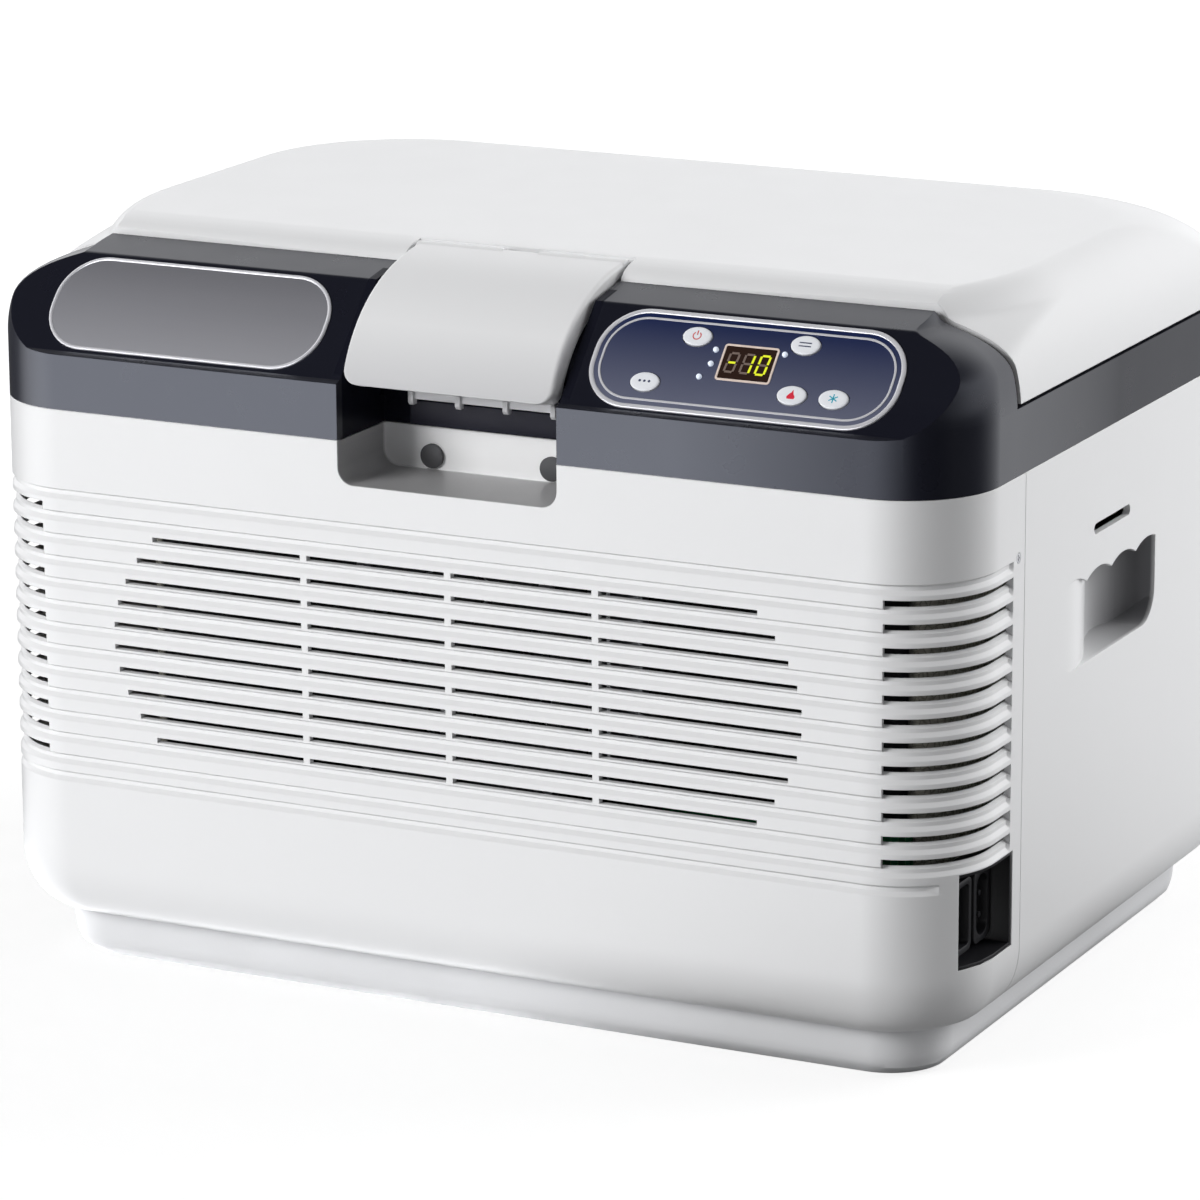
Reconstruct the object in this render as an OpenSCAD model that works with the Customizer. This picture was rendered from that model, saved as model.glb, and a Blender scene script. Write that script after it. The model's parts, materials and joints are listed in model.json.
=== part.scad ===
// Portable cooler fridge: cabinet with louvred front, rim frame with sloped control fascia,
// hinged lid with a curved latch flap, and the thermoelectric cooling unit inside.
// X runs to the right, Y to the back, Z up. The origin is the middle of the base on the floor.

/* [Cabinet] */
// Overall width of the cabinet
body_w = 440; // [436:2:450]
// Overall depth of the cabinet
body_d = 330; // [328:1:336]
// Height of the closed cooler, floor to lid top
body_h = 309.5; // [307:0.5:312]
// Corner radius seen from above
corner_r = 40; // [36:1:44]
// Thickness of the moulded plastic walls
wall = 3; // [2.8:0.1:3.2]
// Height where the white body meets the dark rim frame
rim_z = 240; // [238:1:241]
// Height of the parting line under the lid
lid_z = 267; // [266:0.5:268]

/* [Louvres] */
// Number of louvre rows
louvre_rows = 12; // [10:1:12]
// Height of the topmost louvre row
louvre_top = 199.2; // [196:0.1:202]
// Distance between louvre rows
louvre_pitch = 9.44; // [9:0.01:9.6]

/* [Lid] */
// How far the rim frame's shoulder runs inward at the sides
shoulder_side = 80; // [70:1:90]
// How far the rim frame's shoulder would run inward at the back
shoulder_back = 60; // [50:1:70]
// How far the lid's own shoulder runs inward at the sides
lid_run = 23; // [22:1:26]
// How far the lid's own shoulder runs inward at the back
lid_back_run = 58; // [54:1:60]
// Gap between moving parts that are seen side by side
gap = 0.6; // [0.5:0.05:0.8]

/* [Latch] */
// Half the width of the latch flap
flap_half = 47; // [44:0.5:47.5]
// Half the width of the notch that the flap closes
notch_half = 49; // [48.5:0.5:50]

/* [Cold tank] */
// Inside half width of the tank
tank_half = 148; // [140:1:149]
// Inside front face of the tank
tank_front = -75; // [-75:1:-70]
// Inside back face of the tank
tank_back = 128; // [120:1:130]
// Inside floor of the tank
tank_floor = 50; // [48:1:60]

/* [Cooling unit] */
// Height of the fans' axes above the floor
fan_z = 147; // [142:1:150]
// Side of the hot-side fan
hot_fan = 92; // [80:1:92]
// Side of the cold-side fan
cold_fan = 60; // [50:1:60]

/* [Controls] */
// Distance of the control panel's middle from the cooler's middle
panel_x = 122.2; // [118:0.2:124]
// How far a button is pressed
button_travel = 0.8; // [0.5:0.1:0.8]

/* [Hidden] */
$fn = 64;
hw = body_w / 2;
hd = body_d / 2;
dome_h = body_h - lid_z;
lid_fullness = 1.78;                    // power of the lid shoulder's curve, 2 for an ellipse
pan_h = 21;                          // height of the base pan, where the body shells start
curve_top = 47;                      // height where the body's lower curve ends
curve_in = 16;                       // how far the lower curve draws in
slope_foot = [-hd + 3, lid_z - 3];   // front edge of the sloped fascia
slope_head = [-hd + 35, lid_z + 32]; // back edge of the sloped fascia
slope_angle = atan2(slope_head[1] - slope_foot[1], slope_head[0] - slope_foot[0]);
fascia_back = -108.5;                // back face of the fascia housing
lid_front = -107.8;                  // front face of the lid
notch_back = -125;                   // back wall of the latch notch
notch_floor = 222;                   // floor of the latch notch
seam_y = -98.5;                      // seam between front panel and rear shell
band_top = lid_z - 7;                // height where the fascia housing starts
deck_z = lid_z - 3;                  // top of the deck round the tank mouth
foam_front = -100;
foam_half = 182;
foam_back = 158;
hinge_y = hd + 6.5;
hinge_x = 120;
latch_axis = [-97.5, lid_z + 38.4];  // y and z of the latch flap's pin
// Control points of the flap's outer curve, lower lip to hinge, in y and z
flap_start = [-hd - 0.2, lid_z - 3.5];
flap_pull1 = [-hd + 6, lid_z + 17];
flap_pull2 = [-hd + 25, lid_z + 38];
flap_end = [latch_axis[0], latch_axis[1] + 3.3];
barrel_r = 3.9;                      // flap hinge tubes
pin_r = 1.75;
fit = 0.05;                          // radial running clearance
screw_r = 1.5;
panel_s = 23.4;                      // middle of the fascia, up the slope
panel_size = [132, 45];
panel_r = 20;
badge_x = -127;
badge_size = [128, 44];
plate_t = 0.5;                       // overlay and badge thickness
board_n = -12.6;                     // underside of the control board, below the fascia face
switch_top = board_n + 5;            // top of the tact switches on it
button_rx = 6.25;
button_ry = 4.25;
// Each button: place across and up the panel from its middle line
power_at = [-24.4, 35.4];
set_at = [21.6, 36.1];
aux_at = [-40, 13.1];
heat_at = [22.6, 13.6];
cool_at = [40.2, 13.7];
button_places = [power_at, set_at, aux_at, heat_at, cool_at];
led_places = [[-15, 30.4], [-15.2, 24], [-18.3, 17.8], [14.2, 31.2]];
display_size = [22, 15];
display_s = 25.4;
hot_base_y = foam_front - 1;         // back face of the hot heat sink
hot_fin_front = hot_base_y - 31;
hot_fan_back = hot_fin_front - 0.5;
cold_fin_front = tank_front + 23;
duct_front = cold_fin_front + 20;
tank_mid = (tank_front + tank_back) / 2;
tank_d = tank_back - tank_front;
liner_t = 2;
flange_z = deck_z - wall - liner_t;  // underside of the tank's flange
socket_y = [-150, -107];
socket_z = [49, 89];
base_screw_places = [[-188, -133], [188, -133], [-188, 133], [188, 133], [-100, -133], [100, -133]];
lid_boss_places = [for (sx = [-1, 1]) for (y = [110, 10, -80]) [sx * 170, y]];

// ---- Shapes used by several parts ----

// Corner points of a rounded rectangle, anticlockwise, n steps to a corner
function outline(hx, hy, r, n, front_r) = [for (c = [0:3]) for (i = [0:n])
    let (a = 90 * (c + i / n), sx = c == 0 || c == 3 ? 1 : -1, sy = c < 2 ? 1 : -1, q = c < 2 ? r : front_r)
    [sx * (hx - q) + q * cos(a), sy * (hy - q) + q * sin(a)]];

// Closed solid through rounded rectangles: each row is [z, half x, half y, radius, y shift],
// with the front corners' radius at the end where it differs
module loft(rows, n = 6) {
    m = 4 * (n + 1);
    last = len(rows) - 1;
    points = [for (q = rows) for (p = outline(q[1], q[2], q[3], n, len(q) > 5 ? q[5] : q[3]))
        [p[0], p[1] + q[4], q[0]]];
    sides = [for (k = [0:last - 1]) for (i = [0:m - 1]) let (j = (i + 1) % m)
        [k * m + i, (k + 1) * m + i, (k + 1) * m + j, k * m + j]];
    split = [for (f = sides) each [[f[0], f[1], f[2]], [f[0], f[2], f[3]]]];
    floor_face = [for (i = [0:m - 1]) i];
    top_face = [for (i = [m - 1:-1:0]) last * m + i];
    polyhedron(points, concat([floor_face, top_face], split));
}

// Flat rounded rectangle, centred
module rounded(w, d, r) {
    square([w - 2 * r, d], center = true);
    square([w, d - 2 * r], center = true);
    for (sx = [-1, 1], sy = [-1, 1])
        translate([sx * (w / 2 - r), sy * (d / 2 - r)])
            circle(r);
}

// Flat shape with square top corners and round bottom corners, from z0 to z1
module pocket_shape(half, z0, z1, r) {
    translate([-half, z0 + r])
        square([2 * half, z1 - z0 - r]);
    translate([r - half, z0])
        square([2 * (half - r), 2 * r]);
    for (s = [-1, 1])
        translate([s * (half - r), z0 + r])
            circle(r);
}

module oval(rx, ry)
    polygon([for (a = [0:10:350]) [rx * cos(a), ry * sin(a)]]);

// Box between two corners
module box(a, b)
    translate(a)
        cube(b - a);

// Extrudes a shape drawn in X and Z from y0 back to y1
module along_y(y0, y1)
    translate([0, y1, 0])
        rotate([90, 0, 0])
            linear_extrude(y1 - y0)
                children();

// Extrudes a shape drawn in Y and Z from x0 to x1
module along_x(x0, x1)
    translate([x0, 0, 0])
        rotate([90, 0, 90])
            linear_extrude(x1 - x0)
                children();

// Places children on the sloped fascia: X across, Y up the slope, Z out of the face
module on_slope(x, s)
    translate([x, slope_foot[0], slope_foot[1]])
        rotate([slope_angle, 0, 0])
            translate([0, s, 0])
                children();

module x_cylinder(x0, x1, y, z, r)
    translate([x0, y, z])
        rotate([0, 90, 0])
            cylinder(h = x1 - x0, r = r);

module y_cylinder(x, y0, y1, z, r)
    translate([x, y1, z])
        rotate([90, 0, 0])
            cylinder(h = y1 - y0, r = r);

// Screw standing on its point at the origin, head up
module screw(length, r = screw_r, head_r = 3, head_h = 1.8) {
    difference() {
        union() {
            cylinder(h = length, r = r);
            translate([0, 0, length])
                cylinder(h = head_h, r = head_r);
        }
        for (a = [0, 90])
            rotate([0, 0, a])
                translate([-0.4, -head_r * 0.65, length + head_h * 0.45])
                    cube([0.8, head_r * 1.3, head_h]);
    }
}

// Body solid below the rim, grown by g
module body_solid(g) {
    drop = curve_top - pan_h + g;
    rows = [for (t = [90:-15:0])
        [curve_top - drop * sin(t), hw + g - curve_in * (1 - cos(t)),
            hd + g - curve_in * (1 - cos(t)), corner_r + g - 8 * (1 - cos(t)), 0]];
    loft(concat(rows, [[rim_z + (g < 0 ? 1 : 0), hw + g, hd + g, corner_r + g, 0]]));
}

module body_shell()
    difference() {
        body_solid(0);
        body_solid(-wall);
        translate([0, 0, pan_h - 1])
            linear_extrude(wall + 2)
                rounded(2 * (hw - 42), 2 * (hd - 42), 12);
    }

// Solid under the rim frame's shoulder, over the whole footprint, grown by g
module dome_solid(g) {
    rows = [for (t = [0:10:90]) let (back = hd + g - shoulder_back * (1 - cos(t)), front = hd + g)
        [lid_z + (dome_h + g) * sin(t), hw + g - shoulder_side * (1 - cos(t)),
            (back + front) / 2, corner_r + g + 40 * (1 - cos(t)), (back - front) / 2]];
    loft(concat([[lid_z - 12, hw + g, hd + g, corner_r + g, 0]], rows));
}

// Solid under the lid's outer surface: flat top, tight shoulders, wide corners at the front, grown by g
module lid_dome(g) {
    rows = [for (t = [0:10:90]) let (u = pow(cos(t), 2 / lid_fullness),
        back = hd + g - lid_back_run * (1 - u), front = hd + g)
        [lid_z + (dome_h + g) * pow(sin(t), 2 / lid_fullness), hw + g - lid_run * (1 - u), (back + front) / 2,
            corner_r + g + 32 * (1 - u), (back - front) / 2, min(corner_r + g + 222 * (1 - u), 130 + g)]];
    loft(concat([[lid_z - 12, hw + g, hd + g, corner_r + g, 0]], rows));
}

// ---- Base ----

function pan_rows(g) = [[g < 0 ? wall : 0, hw - 24 + g, hd - 24 + g, 24 + g, 0],
    [3.5, hw - 21 + g, hd - 21 + g, 25 + g, 0], [8, hw - 19.5 + g, hd - 19.5 + g, 26 + g, 0],
    [g < 0 ? pan_h + 1 : pan_h, hw - 18.5 + g, hd - 18.5 + g, 26 + g, 0]];

module feet_places()
    for (sx = [-1, 1], sy = [-1, 1])
        translate([sx * (hw - 52), sy * (hd - 56), 0])
            children();

module base_pan()
    color("whitesmoke")
        difference() {
            union() {
                difference() {
                    loft(pan_rows(0));
                    loft(pan_rows(-wall));
                }
                for (p = base_screw_places)
                    translate([p[0], p[1], 1])
                        cylinder(h = pan_h - 1, r = 6);
                feet_places()
                    translate([0, 0, 1])
                        cylinder(h = 4, r = 14);
                for (x = [-120:60:120])
                    box([x - 1, -hd + 30, wall - 1], [x + 1, hd - 30, 9]);
            }
            for (p = base_screw_places)
                translate([p[0], p[1], -1]) {
                    cylinder(h = pan_h + 2, r = screw_r + 0.2);
                    cylinder(h = 7, r = 3.6);
                }
            feet_places()
                translate([0, 0, -1])
                    cylinder(h = 3.5, r = 11);
        }

module rubber_feet()
    color("dimgray")
        feet_places()
            difference() {
                cylinder(h = 2.5, r = 10.9);
                translate([0, 0, -1])
                    cylinder(h = 1.6, r = 5);
            }

module base_screws()
    color("silver")
        for (p = base_screw_places)
            translate([p[0], p[1], 32])
                rotate([180, 0, 0])
                    screw(26);

// Boss in a body shell for a screw that comes up through the base pan
module shell_boss(p)
    translate([p[0], p[1], pan_h + 1])
        cylinder(h = 13, r = 5);

module shell_boss_hole(p)
    translate([p[0], p[1], pan_h - 1])
        cylinder(h = 13, r = screw_r + 0.1);

// ---- Body shells ----

function row_z(i) = louvre_top - louvre_pitch * i;

// Half length of a louvre row in the middle field
function row_half(i) = 155 - 0.95 * pow(i - (louvre_rows - 1) / 2, 2);

module centre_slots(i) {
    half = row_half(i);
    for (span = [[-half, -67], [-64, -1.5], [1.5, 64], [67, half]])
        box([span[0], -hd - 1, row_z(i) - 0.9], [span[1], -hd + wall + 1, row_z(i) + 0.9]);
}

// Section of a corner louvre: a slot with a sloped sill below it, measured from the face
module louvre_section()
    polygon([[-wall - 1, 1], [1, 1], [1, -4.3], [-wall - 0.2, -1], [-wall - 1, -1]]);

module corner_louvre() {
    start = asin(8.4 / corner_r);
    translate([hw - corner_r, corner_r - hd, 0]) {
        rotate([0, 0, start - 90])
            rotate_extrude(angle = 90 - start)
                translate([corner_r, 0])
                    louvre_section();
        rotate([90, 0, 180])
            linear_extrude(15)
                mirror([1, 0])
                    translate([corner_r, 0])
                        louvre_section();
    }
}

module socket_opening()
    box([hw - 26, socket_y[0], socket_z[0]], [hw + 5, socket_y[1], socket_z[1]]);

module at_seam_screws()
    for (s = [0, 1])
        mirror([s, 0, 0])
            translate([0, seam_y - 6.5, 207])
                children();

module front_panel()
    color("white")
        difference() {
            union() {
                intersection() {
                    body_shell();
                    box([-hw - 1, -hd - 1, 0], [hw + 1, seam_y - 0.2, rim_z + 2]);
                }
                intersection() {
                    body_solid(-1);
                    along_y(-hd, notch_back + 2.5)
                        pocket_shape(notch_half + 2.5, notch_floor - 2.5, rim_z, 9);
                }
                for (p = base_screw_places)
                    if (p[1] < 0)
                        shell_boss(p);
            }
            along_y(-hd - 1, notch_back)
                pocket_shape(notch_half, notch_floor, rim_z + 2, 7);
            for (x = [-27, 27])
                y_cylinder(x, notch_back - 1, notch_back + 4, 227.5, 3);
            for (i = [1:louvre_rows - 2])
                centre_slots(i);
            for (i = [0:louvre_rows - 1])
                translate([0, 0, row_z(i)])
                    for (s = [0, 1])
                        mirror([s, 0, 0])
                            corner_louvre();
            socket_opening();
            for (p = base_screw_places)
                if (p[1] < 0)
                    shell_boss_hole(p);
            at_seam_screws() {
                x_cylinder(hw - 5, hw + 1, 0, 0, screw_r + 0.1);
                x_cylinder(hw - 0.6, hw + 1, 0, 0, 2.2);
            }
        }

// Grip outline in Y and Z with four finger scallops along the top, grown by g
module grip_shape(g) {
    top = 181 + g;
    bump_r = 29.7 + g;
    translate([-8, 0])
        pocket_shape(52 + g, 147 - g, top, 14 + g);
    intersection() {
        translate([-60 - g, top - 8])
            square([104 + 2 * g, 16]);
        for (k = [0:3])
            translate([35.4 - 27 * k, 154.3])
                circle(bump_r);
    }
}

// Depth outline of the grip in X and Y for the right side: shallow in front, deep behind
module grip_depth(g)
    translate([0, 0, 130])
        linear_extrude(70)
            polygon([[hw + 2, -64 - g], [hw - 1 - g, -60 - g], [hw - 20 - g, -30 - g],
                [hw - 27 - g, 0], [hw - 28 - g, 46 + g], [hw + 2, 46 + g]]);

module grip_recess(g)
    intersection() {
        along_x(hw - 40, hw + 2)
            grip_shape(g);
        grip_depth(g);
    }

module rear_shell()
    color("white")
        difference() {
            union() {
                intersection() {
                    body_shell();
                    box([-hw - 1, seam_y + 0.2, 0], [hw + 1, hd + 1, rim_z + 2]);
                }
                for (s = [0, 1])
                    mirror([s, 0, 0])
                        intersection() {
                            grip_recess(2.5);
                            box([hw - 40, -80, 100], [hw - 1, 80, 200]);
                        }
                for (p = base_screw_places)
                    if (p[1] > 0)
                        shell_boss(p);
            }
            for (s = [0, 1])
                mirror([s, 0, 0]) {
                    grip_recess(0);
                    box([hw - 10, -25, 198], [hw + 2, 14.5, 202.5]);
                }
            for (p = base_screw_places)
                if (p[1] > 0)
                    shell_boss_hole(p);
        }

module seam_screws()
    color("lightgray")
        at_seam_screws()
            translate([hw - 7, 0, 0])
                rotate([0, 90, 0])
                    screw(6.4, head_r = 2, head_h = 0.6);

module recess_plugs()
    color("dimgray")
        for (x = [-27, 27]) {
            y_cylinder(x, notch_back - 1.6, notch_back, 227.5, 5);
            y_cylinder(x, notch_back, notch_back + 5, 227.5, 2.9);
        }

// ---- Rim frame with fascia ----

// Side view of the fascia housing, outside
module fascia_side()
    polygon([[-hd - 1, band_top], [-hd - 1, slope_foot[1] - 1], [-hd, slope_foot[1] - 1],
        slope_foot, slope_head, [fascia_back, lid_z + 35.8], [fascia_back, band_top]]);

// Side view of the space inside the fascia housing
module fascia_space()
    polygon([[slope_foot[0] + 2.2, lid_z - 9], [slope_foot[0] + 2.2, slope_foot[1] - 2],
        [slope_head[0] + 1.1, slope_head[1] - 3.1], [fascia_back - wall, lid_z + 32.6],
        [fascia_back - wall, lid_z - 9]]);

module fascia_shell()
    difference() {
        intersection() {
            dome_solid(0);
            along_x(-hw - 1, hw + 1)
                fascia_side();
        }
        intersection() {
            dome_solid(-wall);
            along_x(-hw - 1, hw + 1)
                fascia_space();
        }
    }

module rim_band()
    translate([0, 0, rim_z])
        linear_extrude(band_top - rim_z)
            difference() {
                rounded(body_w, body_d, corner_r);
                rounded(body_w - 2 * wall, body_d - 2 * wall, corner_r - wall);
            }

// Upper band behind the fascia, up to the parting line
module rim_band_top()
    intersection() {
        translate([0, 0, band_top])
            linear_extrude(lid_z - band_top)
                difference() {
                    rounded(body_w, body_d, corner_r);
                    rounded(body_w - 2 * wall, body_d - 2 * wall, corner_r - wall);
                }
        box([-hw - 1, fascia_back - 1, 0], [hw + 1, hd + 1, lid_z]);
    }

module deck()
    translate([0, 0, deck_z - wall])
        linear_extrude(wall)
            difference() {
                intersection() {
                    rounded(body_w - wall, body_d - wall, corner_r - wall / 2);
                    translate([-hw, fascia_back - wall])
                        square([body_w, body_d]);
                }
                translate([0, (tank_front + tank_back) / 2])
                    rounded(2 * tank_half + 2, tank_back - tank_front + 2, 15);
            }

// Walls round the latch notch: two cheeks, a back and a lid below the flap's hinge
module notch_walls() {
    top = lid_z + 23;
    for (s = [-1, 1])
        along_x(s > 0 ? notch_half : -notch_half - wall, s > 0 ? notch_half + wall : -notch_half)
            intersection() {
                polygon([[-hd, rim_z], [-hd, slope_foot[1] - 1], slope_foot, slope_head,
                    [fascia_back, lid_z + 35.8], [fascia_back, deck_z], [notch_back + wall, deck_z],
                    [notch_back + wall, rim_z]]);
            }
    box([-notch_half - 1, notch_back, rim_z], [notch_half + 1, notch_back + wall, top]);
    box([-notch_half - 1, notch_back, top - wall], [notch_half + 1, fascia_back, top]);
}

module button_holes()
    for (p = button_places)
        on_slope(panel_x + p[0], p[1])
            translate([0, 0, -wall - 2])
                linear_extrude(wall + 6)
                    oval(button_rx + 0.3, button_ry + 0.3);

module led_holes()
    for (p = led_places)
        on_slope(panel_x + p[0], p[1])
            translate([0, 0, -wall - 2])
                cylinder(h = wall + 6, r = 1.3);

module display_hole()
    on_slope(panel_x, display_s)
        translate([0, 0, -wall - 2])
            linear_extrude(wall + 6)
                square([display_size[0] + 0.8, display_size[1] + 0.8], center = true);

module rim_frame()
    color([0.09, 0.1, 0.18])
        difference() {
            union() {
                rim_band();
                rim_band_top();
                deck();
                fascia_shell();
                notch_walls();
            }
            box([-notch_half, -hd - 5, rim_z - 1], [notch_half, notch_back, body_h + 5]);
            box([-notch_half, notch_back - 1, lid_z + 23], [notch_half, fascia_back + 1, body_h + 5]);
            box([-36, notch_back - 1, rim_z - 1], [36, notch_back + wall + 1, lid_z - 5]);
            button_holes();
            led_holes();
            display_hole();
            for (s = [-1, 1], dx = [-18, 18])
                y_cylinder(s * hinge_x + dx, hd - wall - 1, hd + 1, lid_z - 17, screw_r + fit);
        }

// Side view of the keeper: a block under a slot whose upper edge slopes up to the front
module keeper_side() {
    front = notch_back - 3;
    back = notch_back + wall;
    polygon([[front, rim_z + 0.3], [back, rim_z + 0.3], [back, rim_z + 10.5], [front, rim_z + 10.5]]);
    polygon([[front, lid_z - 5.2], [front, lid_z - 6.4], [back, lid_z - 10.6], [back, lid_z - 5.2]]);
}

module latch_keeper()
    color([0.28, 0.28, 0.32])
        union() {
            along_x(-35.8, 35.8)
                keeper_side();
            for (s = [-1, 1])
                box([s > 0 ? 33.6 : -35.8, notch_back - 3, rim_z + 0.3],
                    [s > 0 ? 35.8 : -33.6, notch_back + wall, lid_z - 5.2]);
        }

module badge_plate()
    color("silver")
        on_slope(badge_x, panel_s)
            linear_extrude(plate_t)
                rounded(badge_size[0] - 4.4, badge_size[1] - 4.4, panel_r - 2.2);

// Raised ring round a plate
module ring(size, width, h)
    linear_extrude(h)
        difference() {
            rounded(size[0], size[1], panel_r);
            rounded(size[0] - 2 * width, size[1] - 2 * width, panel_r - width);
        }

module badge_ring()
    color("gainsboro")
        on_slope(badge_x, panel_s)
            ring(badge_size, 2, 1);

module control_bezel()
    color("gainsboro")
        on_slope(panel_x, panel_s)
            ring(panel_size, 2, 1);

module control_overlay()
    color([0.12, 0.17, 0.36])
        difference() {
            on_slope(panel_x, panel_s)
                linear_extrude(plate_t)
                    rounded(panel_size[0] - 4.4, panel_size[1] - 4.4, panel_r - 2.2);
            button_holes();
            led_holes();
            display_hole();
        }

module display_module()
    color("black")
        on_slope(panel_x, display_s)
            translate([0, 0, board_n + 1.6])
                linear_extrude(-1 - board_n - 1.6)
                    square(display_size, center = true);

module display_window()
    color([0.25, 0.15, 0.08])
        on_slope(panel_x, display_s)
            translate([0, 0, -1])
                linear_extrude(plate_t + 1.2)
                    square([display_size[0] + 0.4, display_size[1] + 0.4], center = true);

module indicator_leds()
    color("aliceblue")
        for (p = led_places)
            on_slope(panel_x + p[0], p[1])
                translate([0, 0, -1.6])
                    union() {
                        cylinder(h = 2.3, r = 1.15);
                        translate([0, 0, 2.3])
                            intersection() {
                                sphere(r = 1.15);
                                cylinder(h = 2, r = 2);
                            }
                    }

// Key cap on its plunger; origin on the fascia face
module button(place)
    on_slope(panel_x + place[0], place[1]) {
        translate([0, 0, -3.6])
            linear_extrude(3.6 + plate_t + 0.6)
                oval(button_rx, button_ry);
        translate([0, 0, plate_t + 0.6])
            linear_extrude(0.4)
                oval(button_rx - 0.5, button_ry - 0.5);
        translate([0, 0, -4.8])
            linear_extrude(1.2)
                oval(button_rx + 1.2, button_ry + 1.2);
        translate([0, 0, switch_top + button_travel + 0.1])
            cylinder(h = -4.7 - switch_top - button_travel - 0.1, r = 2);
    }

module power_button() color("white") button(power_at);
module set_button() color("white") button(set_at);
module aux_button() color("white") button(aux_at);
module heat_button() color("white") button(heat_at);
module cool_button() color("white") button(cool_at);

// Board behind the fascia with a tact switch under each key
module control_board()
    color("darkgreen")
        union() {
            on_slope(panel_x, panel_s + 0.6)
                translate([0, 0, board_n])
                    linear_extrude(1.6)
                        square([104, 34], center = true);
            for (p = button_places)
                on_slope(panel_x + p[0], p[1])
                    translate([0, 0, board_n + 1.5]) {
                        linear_extrude(2.8)
                            square([6, 6], center = true);
                        cylinder(h = switch_top - board_n - 1.5, r = 1.6);
                    }
            for (x = [-6, 6])
                on_slope(panel_x + x, 11)
                    translate([0, 0, board_n + 1.5])
                        linear_extrude(2)
                            square([7, 5], center = true);
        }

// ---- Tank and insulation ----

module sink_screw_places()
    for (sx = [-1, 1], sz = [-1, 1])
        translate([sx * 38, 0, fan_z + sz * 30])
            children();

module inner_liner()
    color("lightgray")
        difference() {
            union() {
                translate([0, tank_mid, tank_floor - liner_t])
                    linear_extrude(flange_z - tank_floor + 2 * liner_t)
                        rounded(2 * (tank_half + liner_t), tank_d + 2 * liner_t, 16);
                translate([0, tank_mid, flange_z])
                    linear_extrude(liner_t)
                        rounded(2 * tank_half + 40, tank_d + 38, 24);
            }
            translate([0, tank_mid, tank_floor])
                linear_extrude(body_h)
                    rounded(2 * tank_half, tank_d, 14);
            box([-21, tank_front - 5, fan_z - 21], [21, tank_front + 1, fan_z + 21]);
            sink_screw_places()
                y_cylinder(0, tank_front - 5, tank_front + 1, 0, 2.3);
        }

module insulation_foam()
    color("ivory")
        difference() {
            translate([0, (foam_front + foam_back) / 2, pan_h + wall])
                linear_extrude(flange_z - pan_h - wall)
                    rounded(2 * foam_half, foam_back - foam_front, 20);
            translate([0, tank_mid, tank_floor - liner_t])
                linear_extrude(body_h)
                    rounded(2 * (tank_half + liner_t), tank_d + 2 * liner_t, 16);
            box([-22, foam_front - 1, fan_z - 22], [22, tank_front + 1, fan_z + 22]);
            along_x(-hw, hw)
                polygon([[foam_back - 17, pan_h], [foam_back + 1, pan_h], [foam_back + 1, pan_h + 20]]);
            sink_screw_places()
                y_cylinder(0, foam_front - 1, tank_front + 1, 0, 2.3);
        }

// ---- Cooling unit ----

module peltier_module()
    color("white")
        union() {
            box([-20, hot_base_y, fan_z - 20], [20, hot_base_y + 0.8, fan_z + 20]);
            box([-19, hot_base_y + 0.8, fan_z - 19], [19, hot_base_y + 3.2, fan_z + 19]);
            box([-20, hot_base_y + 3.2, fan_z - 20], [20, hot_base_y + 4, fan_z + 20]);
        }

module thermal_spacer()
    color("silver")
        box([-20, hot_base_y + 4, fan_z - 20], [20, tank_front, fan_z + 20]);

module cold_sink()
    color("gainsboro")
        difference() {
            union() {
                box([-46, tank_front, fan_z - 40], [46, tank_front + 5, fan_z + 40]);
                for (k = [-10:10])
                    box([k * 4.4 - 0.7, tank_front + 4, fan_z - 40],
                        [k * 4.4 + 0.7, cold_fin_front, fan_z + 40]);
            }
            sink_screw_places()
                y_cylinder(0, tank_front - 1, tank_front + 6, 0, screw_r + 0.5);
            sink_screw_places()
                y_cylinder(0, tank_front + 5, cold_fin_front + 1, 0, 5);
        }

module hot_sink()
    color("gainsboro")
        difference() {
            union() {
                box([-58, hot_base_y - 6, fan_z - 50], [58, hot_base_y, fan_z + 50]);
                for (k = [-11:11])
                    box([k * 5 - 0.8, hot_fin_front, fan_z - 50],
                        [k * 5 + 0.8, hot_base_y - 5, fan_z + 50]);
            }
            sink_screw_places()
                y_cylinder(0, hot_base_y - 7, hot_base_y + 1, 0, screw_r + 0.5);
            sink_screw_places()
                y_cylinder(0, hot_fin_front - 1, hot_base_y - 6, 0, 5);
        }

module sink_screws()
    color("silver")
        sink_screw_places()
            translate([0, tank_front + 4, 0])
                rotate([90, 0, 0])
                    screw(tank_front + 4 - hot_base_y + 6, r = 1.8, head_r = 3.6, head_h = 2.4);

// Square fan frame standing on its back, axis up
module fan_frame(side, depth) {
    bore = side / 2 - 3;
    hub = side * 0.19;
    difference() {
        union() {
            difference() {
                linear_extrude(depth)
                    rounded(side, side, 5);
                translate([0, 0, -1])
                    cylinder(h = depth + 2, r = bore);
                for (sx = [-1, 1], sy = [-1, 1])
                    translate([sx * (side / 2 - 5), sy * (side / 2 - 5), -1])
                        cylinder(h = depth + 2, r = 2);
            }
            cylinder(h = 2.5, r = hub);
            for (a = [45, 135])
                rotate([0, 0, a])
                    box([-bore - 1, -2, 0], [bore + 1, 2, 2.5]);
            cylinder(h = depth * 0.55, r = 4);
        }
        translate([0, 0, 1.5])
            cylinder(h = depth, r = 2 + fit);
    }
}

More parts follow.
